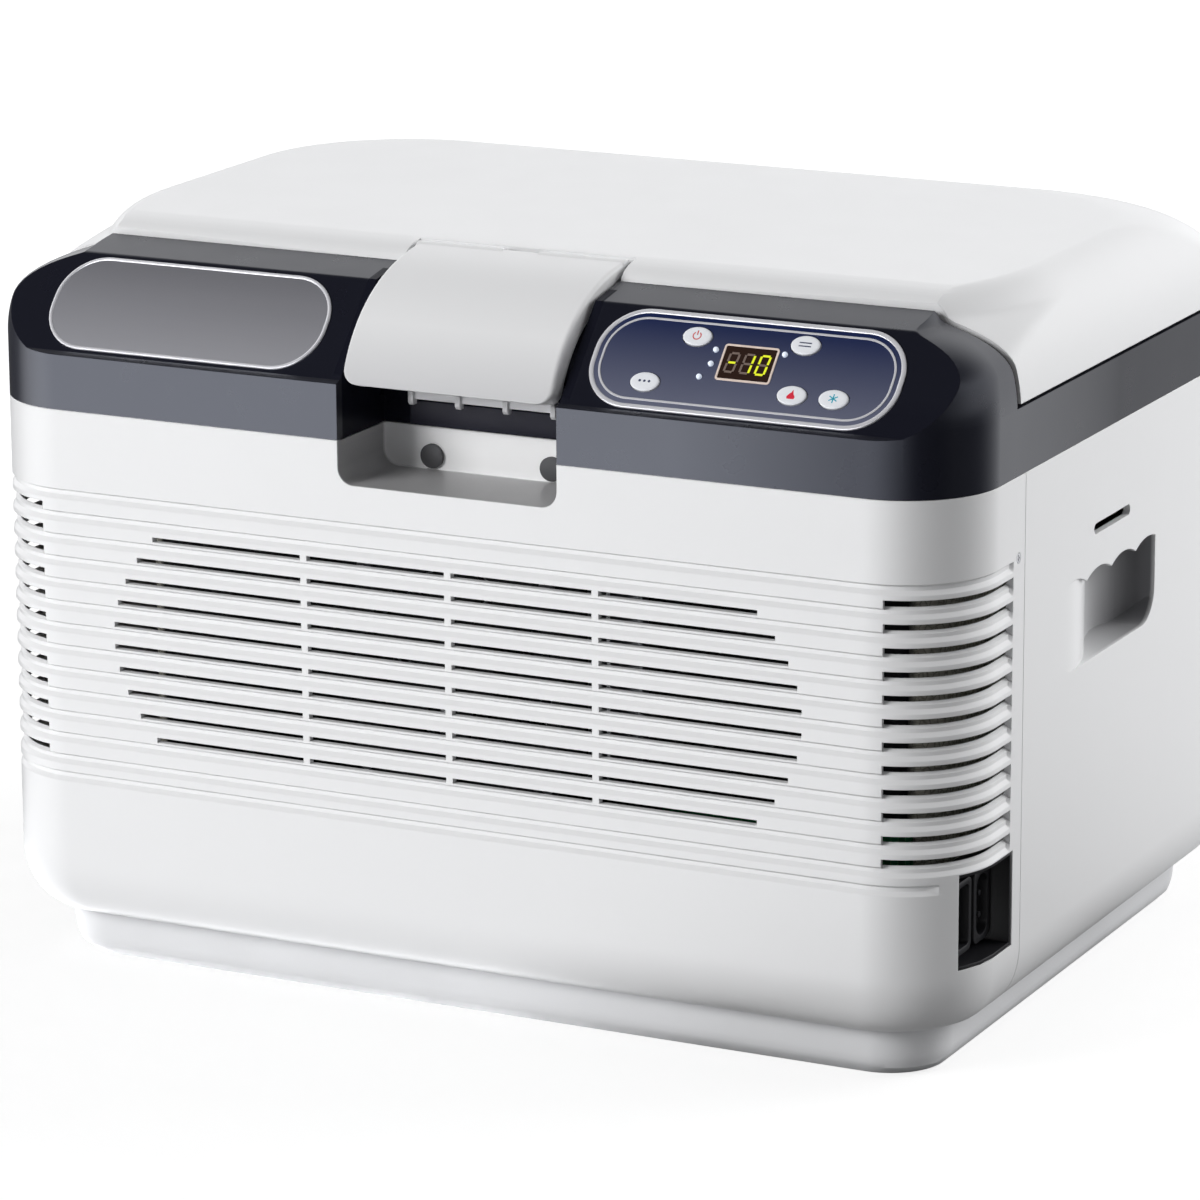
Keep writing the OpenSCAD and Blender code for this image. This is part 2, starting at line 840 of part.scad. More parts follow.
// Bladed rotor that turns in the frame; the cup is open to the back
module fan_rotor(side, depth, blades) {
    tip = side / 2 - 4.2;
    hub = side * 0.18;
    difference() {
        union() {
            translate([0, 0, 3.2])
                cylinder(h = depth - 4.2, r = hub);
            intersection() {
                for (k = [0:blades - 1])
                    rotate([0, 0, k * 360 / blades])
                        translate([0, 0, depth * 0.56])
                            rotate([34, 0, 0])
                                box([hub - 1, -depth * 0.42, -0.7], [tip + 6, depth * 0.42, 0.7]);
                translate([0, 0, 3.6])
                    cylinder(h = depth - 5, r = tip);
            }
        }
        translate([0, 0, 2])
            cylinder(h = depth - 5, r = hub - 1.8);
    }
    translate([0, 0, 2])
        cylinder(h = depth - 4, r = 2);
}

module at_hot_fan()
    translate([0, hot_fan_back, fan_z])
        rotate([90, 0, 0])
            children();

module at_cold_fan()
    translate([0, cold_fin_front + 0.5, fan_z])
        rotate([-90, 0, 0])
            children();

module hot_fan_frame() color([0.15, 0.15, 0.16]) at_hot_fan() fan_frame(hot_fan, 25);
module hot_fan_rotor() color([0.1, 0.1, 0.11]) at_hot_fan() fan_rotor(hot_fan, 25, 7);
module cold_fan_frame() color([0.15, 0.15, 0.16]) at_cold_fan() fan_frame(cold_fan, 15);
module cold_fan_rotor() color([0.1, 0.1, 0.11]) at_cold_fan() fan_rotor(cold_fan, 15, 7);

module fan_screw_set(side, depth)
    for (sx = [-1, 1], sy = [-1, 1])
        translate([sx * (side / 2 - 5), sy * (side / 2 - 5), -0.2])
            screw(depth + 0.2, r = 1.8, head_r = 3.2);

module fan_screws()
    color("silver") {
        at_hot_fan()
            fan_screw_set(hot_fan, 25);
        at_cold_fan()
            fan_screw_set(cold_fan, 15);
    }

module duct_screw_places()
    for (sx = [-1, 1], z = [fan_z - 44, fan_z + 44])
        translate([sx * 58, tank_front, z])
            children();

module cold_duct_cover()
    color("lightgray")
        difference() {
            union() {
                difference() {
                    along_y(tank_front, duct_front)
                        translate([0, fan_z])
                            rounded(140, 110, 10);
                    along_y(tank_front - 1, duct_front - 2.5)
                        translate([0, fan_z])
                            rounded(135, 105, 8);
                }
                duct_screw_places()
                    y_cylinder(0, 0, duct_front - tank_front - 1, 0, 5);
            }
            for (k = [-4:4])
                box([-24, duct_front - 4, fan_z + k * 5.5 - 1.2], [24, duct_front + 1, fan_z + k * 5.5 + 1.2]);
            for (s = [-1, 1], k = [-6:6])
                box([s > 0 ? 60 : -80, tank_front + 8, fan_z + k * 6 - 1.5],
                    [s > 0 ? 80 : -60, duct_front - 8, fan_z + k * 6 + 1.5]);
            duct_screw_places()
                y_cylinder(0, -1, duct_front - tank_front + 2, 0, screw_r + 0.2);
        }

module duct_screws()
    color("silver")
        duct_screw_places()
            translate([0, 0.2, 0])
                rotate([-90, 0, 0])
                    screw(duct_front - tank_front - 0.2);

module temperature_probe()
    color("black")
        union() {
            translate([62, tank_front + 6, fan_z - 20])
                cylinder(h = 18, r = 2.5);
            translate([62, tank_front + 6, fan_z - 2])
                sphere(r = 2.5);
            box([59, tank_front, fan_z - 17], [65, tank_front + 5, fan_z - 9]);
        }

// ---- Electrics ----

module power_board()
    color("darkgreen")
        union() {
            box([66, foam_front - 5.6, 40], [176, foam_front - 4, 92]);
            for (p = [[72, 44], [170, 44], [72, 88], [170, 88]])
                y_cylinder(p[0], foam_front - 4.5, foam_front, p[1], 2.5);
            box([78, foam_front - 26, 48], [104, foam_front - 5, 78]);
            for (p = [[116, 56, 6], [132, 56, 6], [116, 76, 5]])
                y_cylinder(p[0], foam_front - 24, foam_front - 5, p[1], p[2]);
            box([144, foam_front - 20, 48], [148, foam_front - 5, 84]);
            for (z = [52:6:82])
                box([147, foam_front - 20, z], [158, foam_front - 5, z + 1.6]);
        }

module socket_housing()
    color([0.08, 0.08, 0.09])
        difference() {
            intersection() {
                box([hw - 15.8, socket_y[0] + 0.2, socket_z[0] + 0.2],
                    [hw + 5, socket_y[1] - 0.2, socket_z[1] - 0.2]);
                body_solid(-0.3);
            }
            box([hw - 13.8, socket_y[0] + 2, socket_z[0] + 2],
                [hw + 6, socket_y[1] - 2, socket_z[1] - 2]);
        }

module dc_socket()
    color([0.12, 0.12, 0.13])
        translate([hw - 13.8, -137.9, 69])
            rotate([0, 90, 0])
                difference() {
                    linear_extrude(6)
                        rounded(30, 16, 3);
                    translate([0, 0, 2])
                        linear_extrude(9)
                            rounded(25, 11, 2);
                }

module ac_inlet()
    color([0.12, 0.12, 0.13])
        translate([hw - 13.8, -119.1, 69])
            rotate([0, 90, 0])
                union() {
                    difference() {
                        linear_extrude(6)
                            rounded(30, 16, 3);
                        translate([0, 0, 2])
                            linear_extrude(9)
                                rounded(25, 11, 5);
                    }
                    for (x = [-4.5, 4.5])
                        translate([x, 0, 1])
                            cylinder(h = 4, r = 1.2);
                }

// Flat strip of cable along a path, t thick
module strip(path, t) {
    last = len(path) - 1;
    side = [for (k = [0:last]) let (v = path[min(k + 1, last)] - path[max(k - 1, 0)])
        t / 2 * [-v[1], v[0]] / norm(v)];
    polygon(concat([for (k = [0:last]) path[k] + side[k]], [for (k = [last:-1:0]) path[k] - side[k]]));
}

// Flat cables: controls to power board, fan to power board, sockets to power board
module wiring_harness()
    color("black")
        union() {
            along_x(136, 146)
                strip([[-108, 94], [-108, 150], [-114, 225], [-118, 252]], 1.4);
            along_y(-114, -111)
                strip([[100, 94], [99, 112], [86, 122], [60, 128]], 2);
            translate([0, 0, 65])
                linear_extrude(6)
                    strip([[hw - 16.2, -130], [187, -128], [181, -116], [178.5, -108]], 1.6);
        }

// ---- Hinges ----

module at_hinges()
    for (s = [-1, 1])
        translate([s * hinge_x, 0, 0])
            children();

module hinge_brackets()
    color([0.1, 0.11, 0.18])
        at_hinges()
            difference() {
                union() {
                    box([-28, hd, lid_z - 24], [28, hd + 2.5, lid_z - 5.5]);
                    for (s = [-1, 1]) {
                        x_cylinder(s > 0 ? 12.4 : -26, s > 0 ? 26 : -12.4, hinge_y, lid_z, 5);
                        box([s > 0 ? 12.4 : -26, hd, lid_z - 9], [s > 0 ? 26 : -12.4, hinge_y, lid_z - 0.2]);
                    }
                }
                x_cylinder(-27, 27, hinge_y, lid_z, pin_r + fit);
                for (dx = [-18, 18])
                    y_cylinder(dx, hd - 1, hd + 4, lid_z - 17, screw_r + fit);
            }

module lid_hinge_arms()
    color("white")
        at_hinges()
            difference() {
                union() {
                    box([-12, hd, lid_z + 1.2], [12, hd + 2.5, lid_z + 14]);
                    x_cylinder(-12, 12, hinge_y, lid_z, 5);
                    box([-12, hd, lid_z + 1.2], [12, hinge_y, lid_z + 5]);
                }
                x_cylinder(-13, 13, hinge_y, lid_z, pin_r + fit);
                for (dx = [-7, 7])
                    y_cylinder(dx, hd - 1, hd + 4, lid_z + 10, screw_r + fit);
            }

module hinge_pins()
    color("silver")
        at_hinges()
            x_cylinder(-26.5, 26.5, hinge_y, lid_z, pin_r);

module hinge_screws()
    color("silver")
        at_hinges()
            for (dx = [-18, 18])
                translate([dx, hd - wall - 0.5, lid_z - 17])
                    rotate([-90, 0, 0])
                        screw(6, head_r = 2.8, head_h = 1.5);

// ---- Lid ----

// Side view of the lid, outside
module lid_side()
    polygon([[lid_front, lid_z + gap], [lid_front, lid_z + 34.5], [lid_front + 1.8, lid_z + 37.5],
        [lid_front + 6.8, lid_z + 40.3], [lid_front + 13.8, body_h - 0.5],
        [lid_front + 20, body_h + 5], [hd + 5, body_h + 5], [hd + 5, lid_z + gap]]);

// Side view of the space inside the lid
module lid_space()
    polygon([[lid_front + wall, lid_z - 1], [lid_front + wall, lid_z + 33],
        [lid_front + 8, lid_z + 37.3], [lid_front + 18, body_h + 5], [hd + 5, body_h + 5],
        [hd + 5, lid_z - 1]]);

// Solid block that holds the flap's hinge notch and pin
module latch_block()
    box([-notch_half - 8, lid_front, lid_z + 31], [notch_half + 8, lid_front + 17.6, body_h]);

module lid_boss_posts(r, z0, z1)
    for (p = lid_boss_places)
        translate([p[0], p[1], z0])
            cylinder(h = z1 - z0, r = r);

module lid_outer()
    color("white")
        difference() {
            intersection() {
                union() {
                    difference() {
                        lid_dome(0);
                        intersection() {
                            lid_dome(-wall);
                            along_x(-hw, hw)
                                lid_space();
                        }
                    }
                    latch_block();
                    intersection() {
                        lid_dome(-wall / 2);
                        lid_boss_posts(4, lid_z + 4.2, body_h);
                    }
                    at_hinges()
                        box([-14, hd - 12, lid_z + gap], [14, hd, lid_z + 16]);
                }
                along_x(-hw - 1, hw + 1)
                    lid_side();
            }
            box([-notch_half, lid_front - 1, lid_z + 33.5], [notch_half, lid_front + 15.1, body_h + 5]);
            x_cylinder(-notch_half - 6, notch_half + 6, latch_axis[0], latch_axis[1], 1.5 + fit);
            lid_boss_posts(screw_r - 0.1, lid_z, lid_z + 18);
            at_hinges()
                for (dx = [-7, 7])
                    y_cylinder(dx, hd - 8, hd + 1, lid_z + 10, screw_r + fit);
        }

module lid_inner()
    color("whitesmoke")
        difference() {
            union() {
                translate([0, 0, lid_z + 0.9])
                    linear_extrude(3)
                        intersection() {
                            rounded(body_w - 11, body_d - 11, corner_r - 4);
                            translate([-hw, lid_front + wall + 0.3])
                                square([body_w, body_d]);
                        }
                translate([0, tank_mid, lid_z - 5])
                    linear_extrude(6)
                        rounded(2 * tank_half - 16, tank_d - 16, 14);
            }
            translate([0, tank_mid, lid_z - 2.5])
                linear_extrude(8)
                    rounded(2 * tank_half - 22, tank_d - 22, 11);
            lid_boss_posts(screw_r + 0.2, lid_z - 1, lid_z + 5);
            at_hinges()
                box([-15, hd - 12.3, lid_z], [15, hd, lid_z + 5]);
        }

module lid_foam()
    color("ivory")
        difference() {
            union() {
                intersection() {
                    lid_dome(-wall - 0.4);
                    box([-hw, lid_front + 18.4, lid_z + 4], [hw, hd - 12.5, body_h]);
                }
                translate([0, tank_mid, lid_z - 2.4])
                    linear_extrude(8)
                        rounded(2 * tank_half - 22.6, tank_d - 22.6, 10.7);
            }
            lid_boss_posts(4.5, lid_z + 1, body_h);
        }

// Hollow gasket ring under the lid, pressed on the deck when shut
module lid_seal()
    color([0.25, 0.25, 0.27])
        translate([0, tank_mid, 0])
            difference() {
                translate([0, 0, deck_z + 0.2])
                    linear_extrude(3.7)
                        rounded(2 * tank_half + 30, tank_d + 28, 24);
                translate([0, 0, deck_z - 1])
                    linear_extrude(8)
                        rounded(2 * tank_half + 16, tank_d + 14, 18);
                translate([0, 0, deck_z + 1.1])
                    linear_extrude(1.6)
                        difference() {
                            rounded(2 * tank_half + 28, tank_d + 26, 23);
                            rounded(2 * tank_half + 18, tank_d + 16, 19);
                        }
            }

module lid_screws()
    color("silver") {
        for (p = lid_boss_places)
            translate([p[0], p[1], lid_z + 12.9])
                rotate([180, 0, 0])
                    screw(12, r = screw_r - 0.15, head_h = 1.4);
        at_hinges()
            for (dx = [-7, 7])
                translate([dx, hd - 7, lid_z + 10])
                    rotate([-90, 0, 0])
                        screw(9.5, head_r = 2.8, head_h = 1.5);
    }

// ---- Latch ----

// Point of the flap's outer curve, t from the lower lip (0) to the hinge (1)
function flap_point(t) = pow(1 - t, 3) * flap_start + 3 * pow(1 - t, 2) * t * flap_pull1
    + 3 * (1 - t) * t * t * flap_pull2 + t * t * t * flap_end;
function flap_tangent(t) = let (v = flap_point(t + 0.01) - flap_point(t - 0.01)) v / norm(v);

// Point set in from the outer curve by d
function flap_inset(t, d) = let (v = flap_tangent(t)) flap_point(t) + d * [v[1], -v[0]];

// Band below the flap's outer curve, d thick, drawn in Y and Z
module flap_band(d, t1)
    polygon(concat([for (t = [0:0.05:t1 + 0.001]) flap_point(t)],
        [for (t = [t1:-0.05:-0.001]) flap_inset(t, d)]));

module latch_flap()
    color("white")
        difference() {
            union() {
                along_x(-flap_half, flap_half)
                    flap_band(2.8, 1);
                for (s = [-1, 1])
                    along_x(s > 0 ? flap_half - 2.5 : -flap_half, s > 0 ? flap_half : 2.5 - flap_half)
                        flap_band(8, 0.85);
                along_x(-flap_half, flap_half)
                    polygon([flap_point(0), flap_point(0.05), flap_inset(0.05, 5), flap_inset(0, 5)]);
                for (s = [-1, 1])
                    x_cylinder(s > 0 ? 8 : -flap_half, s > 0 ? flap_half : -8,
                        latch_axis[0], latch_axis[1], barrel_r);
            }
            x_cylinder(-flap_half - 1, flap_half + 1, latch_axis[0], latch_axis[1], 1.5 + fit);
            translate([0, latch_axis[0], latch_axis[1]])
                rotate([0, 90, 0])
                    cylinder(h = 15.6, r = 4.4, center = true);
        }

// Hook plate under the flap, with a low wedge lip whose nose stops just in front of the keeper
module latch_hook()
    color("whitesmoke")
        union() {
            hook_top = lid_z + 31.8;
            nose = notch_back - 3.4;
            along_x(-32, 32)
                polygon([[-133, lid_z - 14.8], [-130.5, lid_z - 14.8], [nose, lid_z - 13.6],
                    [nose, lid_z - 11.6], [-130.5, lid_z - 8.6], [-130.5, hook_top],
                    [-133, hook_top - 1.2]]);
            for (x = [-32, -10.7, 10.7, 32])
                along_x(x - 1.2, x + 1.2)
                    polygon([[-134.5, lid_z - 11.5], [-134.5, lid_z - 16], [-133.5, lid_z - 17.2],
                        [-131, lid_z - 17.2], [-131, lid_z - 11.5]]);
        }

module latch_pin()
    color("silver")
        x_cylinder(-notch_half - 5.5, notch_half + 5.5, latch_axis[0], latch_axis[1], 1.5);

// Torsion spring on the pin between the flap's two hinge tubes
module latch_spring()
    color("silver")
        translate([0, latch_axis[0], latch_axis[1]]) {
            rotate([0, 90, 0])
                for (k = [-6:6])
                    translate([0, 0, k])
                        rotate_extrude()
                            translate([2.5, 0])
                                circle(0.53);
            translate([-6, 0, -2.5])
                rotate([90, 0, 0])
                    cylinder(h = 9, r = 0.5);
            translate([6, 0, -2.5])
                rotate([-90, 0, 0])
                    cylinder(h = 4, r = 0.5);
        }

base_pan();
rubber_feet();
base_screws();
front_panel();
rear_shell();
rim_frame();
badge_plate();
badge_ring();
control_bezel();
control_overlay();
display_module();
display_window();
indicator_leds();
control_board();
inner_liner();
insulation_foam();
peltier_module();
thermal_spacer();
cold_sink();
cold_fan_frame();
cold_fan_rotor();
cold_duct_cover();
duct_screws();
hot_sink();
hot_fan_frame();
hot_fan_rotor();
fan_screws();
sink_screws();
power_board();
socket_housing();
dc_socket();
ac_inlet();
latch_keeper();
recess_plugs();
temperature_probe();
wiring_harness();
hinge_brackets();
hinge_screws();
hinge_pins();
seam_screws();
power_button();
set_button();
aux_button();
heat_button();
cool_button();
lid_outer();
lid_inner();
lid_foam();
lid_seal();
lid_hinge_arms();
lid_screws();
latch_pin();
latch_spring();
latch_flap();
latch_hook();
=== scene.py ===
"""Looks for the portable cooler fridge: finer shells, lid, latch, keys and display around the CAD frame."""
import json
import math

import bmesh
import bpy
from mathutils import Matrix, Vector


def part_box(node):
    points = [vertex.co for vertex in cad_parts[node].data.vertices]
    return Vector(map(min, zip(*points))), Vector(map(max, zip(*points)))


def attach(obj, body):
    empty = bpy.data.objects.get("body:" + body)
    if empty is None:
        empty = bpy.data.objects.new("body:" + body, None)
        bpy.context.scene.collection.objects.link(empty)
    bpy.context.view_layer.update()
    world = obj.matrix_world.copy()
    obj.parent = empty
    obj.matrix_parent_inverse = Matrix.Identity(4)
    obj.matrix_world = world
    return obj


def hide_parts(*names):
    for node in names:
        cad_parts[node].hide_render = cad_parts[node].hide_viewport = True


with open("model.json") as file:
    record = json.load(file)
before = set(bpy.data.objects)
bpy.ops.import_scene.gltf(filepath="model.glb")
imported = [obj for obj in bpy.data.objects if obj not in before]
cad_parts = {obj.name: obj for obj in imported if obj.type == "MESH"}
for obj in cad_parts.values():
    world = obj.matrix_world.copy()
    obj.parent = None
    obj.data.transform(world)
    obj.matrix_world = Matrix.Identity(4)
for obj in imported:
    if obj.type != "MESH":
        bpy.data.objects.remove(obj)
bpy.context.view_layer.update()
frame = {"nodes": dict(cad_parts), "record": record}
scene = bpy.context.scene
nodes = frame["nodes"]
record = frame["record"]

MM = 0.001
FINE = 24                                # steps to a quarter turn on outer corners


def box_mm(name):
    """Lowest and highest corner of a CAD node, in millimetres."""
    lo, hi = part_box(name)
    return [v / MM for v in lo], [v / MM for v in hi]


# ---- Sizes in millimetres: outer ones from the CAD frame, the rest as in the CAD source ----

shell_lo, shell_hi = box_mm("rear_shell")
lid_lo, lid_hi = box_mm("lid_outer")
HW, HD = shell_hi[0], shell_hi[1]        # half width, half depth
RIM_Z = shell_hi[2]
LID_Z = lid_lo[2] - 0.6
TOP = lid_hi[2]
LID_FRONT = lid_lo[1]
PAN_H = box_mm("base_pan")[1][2]
SEAM_Y = shell_lo[1] - 0.2
DECK_Z = LID_Z - 3
NOTCH_BACK = box_mm("latch_keeper")[0][1] + 3
NOTCH_HALF = 49
NOTCH_FLOOR = 222
WALL = 3
CORNER = 40
CURVE_TOP = PAN_H + 26
CURVE_IN = 16
SLOPE_FOOT = (-HD + 3, LID_Z - 3)
SLOPE_HEAD = (-HD + 35, LID_Z + 32)
SLOPE = math.atan2(SLOPE_HEAD[1] - SLOPE_FOOT[1], SLOPE_HEAD[0] - SLOPE_FOOT[0])
FASCIA_BACK = LID_FRONT - 0.7
LOUVRE_TOP = 199.2
PITCH = 9.44
ROWS = 12
SLOT_END = -110
LATCH_AXIS = (-97.5, 305.4)
PLATE = 0.5


# ---- Mesh tools: everything is built in millimetres and scaled when it is placed ----

def solid(name, verts, faces):
    mesh = bpy.data.meshes.new(name)
    mesh.from_pydata([tuple(v) for v in verts], [], faces)
    bm = bmesh.new()
    bm.from_mesh(mesh)
    bmesh.ops.recalc_face_normals(bm, faces=bm.faces)
    bm.to_mesh(mesh)
    bm.free()
    obj = bpy.data.objects.new(name, mesh)
    scene.collection.objects.link(obj)
    return obj


def prism(points, axis, a, b):
    """Flat outline pushed from a to b along x (outline in y, z), y (x, z) or z (x, y)."""
    place = {"x": lambda p, d: (d, p[0], p[1]), "y": lambda p, d: (p[0], d, p[1]),
             "z": lambda p, d: (p[0], p[1], d)}[axis]
    n = len(points)
    verts = [place(p, a) for p in points] + [place(p, b) for p in points]
    faces = [tuple(range(n)), tuple(range(2 * n - 1, n - 1, -1))]
    faces += [(i, (i + 1) % n, n + (i + 1) % n, n + i) for i in range(n)]
    return solid("prism", verts, faces)


def block(a, b):
    return prism([(a[0], a[1]), (b[0], a[1]), (b[0], b[1]), (a[0], b[1])], "z", a[2], b[2])


def rod(axis, a, b, centre, radius, n=40):
    pts = [(centre[0] + radius * math.cos(k * math.tau / n),
            centre[1] + radius * math.sin(k * math.tau / n))
           for k in range(n)]
    return prism(pts, axis, a, b)


def rounded(hx, hy, r, n=FINE, shift=0.0, at=(0.0, 0.0), front_r=None):
    """Outline of a rounded rectangle, anticlockwise; the two front corners may have their own radius."""
    pts = []
    for c in range(4):
        sx, sy = (1 if c in (0, 3) else -1), (1 if c < 2 else -1)
        q = front_r if front_r and c > 1 else r
        for i in range(n + 1):
            a = math.radians(90 * (c + i / n))
            pts.append((at[0] + sx * (hx - q) + q * math.cos(a),
                        at[1] + shift + sy * (hy - q) + q * math.sin(a)))
    return pts


def loft(rows, n=FINE):
    """Closed solid through rounded rectangles; rows: z, half x, half y, radius, y shift, front radius."""
    return skin([[(x, y, q[0]) for x, y in rounded(q[1], q[2], q[3], n, q[4],
                                                   front_r=(q[5:] or [None])[0])] for q in rows])


def skin(rings):
    """Closed solid through a stack of equal rings, capped at both ends."""
    m = len(rings[0])
    faces = [tuple(range(m)), tuple(range(len(rings) * m - 1, (len(rings) - 1) * m - 1, -1))]
    for k in range(len(rings) - 1):
        faces += [(k * m + i, k * m + (i + 1) % m, (k + 1) * m + (i + 1) % m, (k + 1) * m + i)
                  for i in range(m)]
    return solid("skin", [p for ring in rings for p in ring], faces)


def thick_sheet(outer, inner):
    """Closed wall between an outer and an inner grid of points."""
    rows, cols = len(outer), len(outer[0])
    base = rows * cols
    faces = []
    for i in range(rows - 1):
        for j in range(cols - 1):
            a, b, c, d = i * cols + j, i * cols + j + 1, (i + 1) * cols + j + 1, (i + 1) * cols + j
            faces += [(a, b, c, d), (base + d, base + c, base + b, base + a)]
        for j in (0, cols - 1):
            a, d = i * cols + j, (i + 1) * cols + j
            faces.append((a, d, base + d, base + a))
    for j in range(cols - 1):
        for i in (0, rows - 1):
            a, b = i * cols + j, i * cols + j + 1
            faces.append((a, b, base + b, base + a))
    return solid("sheet", [p for row in outer for p in row] + [p for row in inner for p in row], faces)


def join(objs):
    """One object holding the separate meshes of several."""
    bm = bmesh.new()
    for o in objs:
        mesh = o.data
        mesh.transform(o.matrix_world)
        bm.from_mesh(mesh)
        bpy.data.objects.remove(o)
        bpy.data.meshes.remove(mesh)
    mesh = bpy.data.meshes.new("joined")
    bm.to_mesh(mesh)
    bm.free()
    obj = bpy.data.objects.new("joined", mesh)
    scene.collection.objects.link(obj)
    return obj


def boolean(target, kind, *tools):
    """Applies one boolean with each tool in turn; the tools are used up."""
    for tool in tools:
        count = 0
        for solver in ("MANIFOLD", "EXACT"):
            mod = target.modifiers.new("bool", "BOOLEAN")
            mod.operation = kind
            mod.solver = solver
            mod.object = tool
            graph = bpy.context.evaluated_depsgraph_get()
            mesh = bpy.data.meshes.new_from_object(target.evaluated_get(graph))
            target.modifiers.clear()
            count = len(mesh.polygons)
            if count > 3:
                break
        if count <= 3:
            raise RuntimeError("a boolean left nothing")
        target.data = mesh
        bpy.data.objects.remove(tool)
    return target


def cut(target, *tools):
    return boolean(target, "DIFFERENCE", *tools)


def add(target, *tools):
    return boolean(target, "UNION", *tools)


def common(target, *tools):
    return boolean(target, "INTERSECT", *tools)


def turned_to_slope(obj, x, s, lift=0.0):
    """Moves a mesh drawn flat (x across, y up) on to the sloped fascia."""
    y = SLOPE_FOOT[0] + s * math.cos(SLOPE) - lift * math.sin(SLOPE)
    z = SLOPE_FOOT[1] + s * math.sin(SLOPE) + lift * math.cos(SLOPE)
    obj.data.transform(Matrix.Translation((x, y, z)) @ Matrix.Rotation(SLOPE, 4, "X"))
    return obj


def slope_place(name):
    """Place across and up the fascia of a CAD node that sits on it."""
    lo, hi = box_mm(name)
    y, z = (lo[1] + hi[1]) / 2, (lo[2] + hi[2]) / 2
    s = (y - SLOPE_FOOT[0]) * math.cos(SLOPE) + (z - SLOPE_FOOT[1]) * math.sin(SLOPE)
    return (lo[0] + hi[0]) / 2, s


def oval(rx, ry, n=64, at=(0.0, 0.0)):
    return [(at[0] + rx * math.cos(k * math.tau / n), at[1] + ry * math.sin(k * math.tau / n))
            for k in range(n)]


def stadium_rows(hx, hy, r, rows, n=20):
    """Stack of rounded rectangles: each row is z and inset."""
    return [[(x, y, z) for x, y in rounded(hx - d, hy - d, max(r - d, 0.3), n)] for z, d in rows]


# ---- Materials ----

def node(tree, kind, props=None, ins=None):
    n = tree.nodes.new(kind)
    for key, value in (props or {}).items():
        setattr(n, key, value)
    for key, value in (ins or {}).items():
        if isinstance(value, bpy.types.NodeSocket):
            tree.links.new(value, n.inputs[key])
        else:
            n.inputs[key].default_value = value
    return n


def rgb(c, k=1.0):
    return (c[0] * k, c[1] * k, c[2] * k, 1.0)


def spread(tree, value, a, b, c, d):
    ins = {"Value": value, "From Min": a, "From Max": b, "To Min": c, "To Max": d}
    return node(tree, "ShaderNodeMapRange", None, ins).outputs[0]


def gate(tree, value, off, full):
    """Mask that is 0 at off, 1 at full, and held outside them."""
    return spread(tree, value, off, full, 0.0, 1.0)


def blend_colour(tree, fac, a, b):
    return node(tree, "ShaderNodeMix", {"data_type": "RGBA"}, {0: fac, 6: a, 7: b}).outputs[2]


def noise(tree, coord, scale, detail=3.0, stretch=None):
    if stretch:
        coord = node(tree, "ShaderNodeMapping", None, {"Vector": coord, "Scale": stretch}).outputs[0]
    return node(tree, "ShaderNodeTexNoise", None, {"Vector": coord, "Scale": scale,
                                                   "Detail": detail}).outputs[0]


PLASTIC_IOR, COAT_ROUGHNESS = 1.46, 0.12
GRAIN_DEPTH = 0.0004                     # metres


def surface(name, colour, rough, metal=0.0, grain=(900.0, 0.12), mottle=0.03, coat=0.0, bevel=0.0,
            stretch=None,
            tone=None, glow=None, uneven=0.18, gleam=None, gleam_tint=None):
    """Procedural finish: mottled colour, uneven gloss, fine grain; tone may recolour it."""
    mat = bpy.data.materials.new(name)
    mat.use_nodes = True
    tree = mat.node_tree
    tree.nodes.clear()
    coord = node(tree, "ShaderNodeTexCoord").outputs["Object"]
    broad = noise(tree, coord, 14.0, 4.0)
    base = blend_colour(tree, gate(tree, broad, 0.3, 0.7), rgb(colour, 1 - mottle),
                        rgb(colour, 1 + mottle / 2))
    if tone:
        base = tone(tree, coord, base)
    fine = noise(tree, coord, grain[0], 3.0, stretch)
    gloss = spread(tree, noise(tree, coord, 60.0, 5.0, stretch), 0.25, 0.75, rough * (1 - uneven),
                   min(rough * (1 + uneven), 1.0))
    bump_ins = {"Strength": grain[1], "Distance": GRAIN_DEPTH, "Height": fine}
    if bevel:
        bump_ins["Normal"] = node(tree, "ShaderNodeBevel", {"samples": 6},
                                  {"Radius": bevel * MM}).outputs[0]
    bump = node(tree, "ShaderNodeBump", None, bump_ins).outputs[0]
    ins = {"Base Color": base, "Roughness": gloss, "Metallic": metal, "IOR": PLASTIC_IOR, "Normal": bump,
           "Coat Weight": coat, "Coat Roughness": COAT_ROUGHNESS}
    if gleam:
        ins["Specular IOR Level"] = gleam(tree, coord) if callable(gleam) else gleam
    if gleam_tint:
        ins["Specular Tint"] = rgb(gleam_tint)
    if glow:
        ins["Emission Color"] = rgb(glow[:3])
        ins["Emission Strength"] = glow[3]
    shader = node(tree, "ShaderNodeBsdfPrincipled", None, ins)
    out = node(tree, "ShaderNodeOutputMaterial")
    tree.links.new(shader.outputs[0], out.inputs[0])
    return mat


def maths(tree, operation, a, b=None):
    ins = {0: a}
    if b is not None:
        ins[1] = b
    return node(tree, "ShaderNodeMath", {"operation": operation}, ins).outputs[0]


def times(tree, first, *others):
    """Product of numbers and sockets."""
    for other in others:
        first = maths(tree, "MULTIPLY", first, other)
    return first


def axis_of(tree, coord, axis):
    return node(tree, "ShaderNodeSeparateXYZ", None, {0: coord}).outputs[axis]


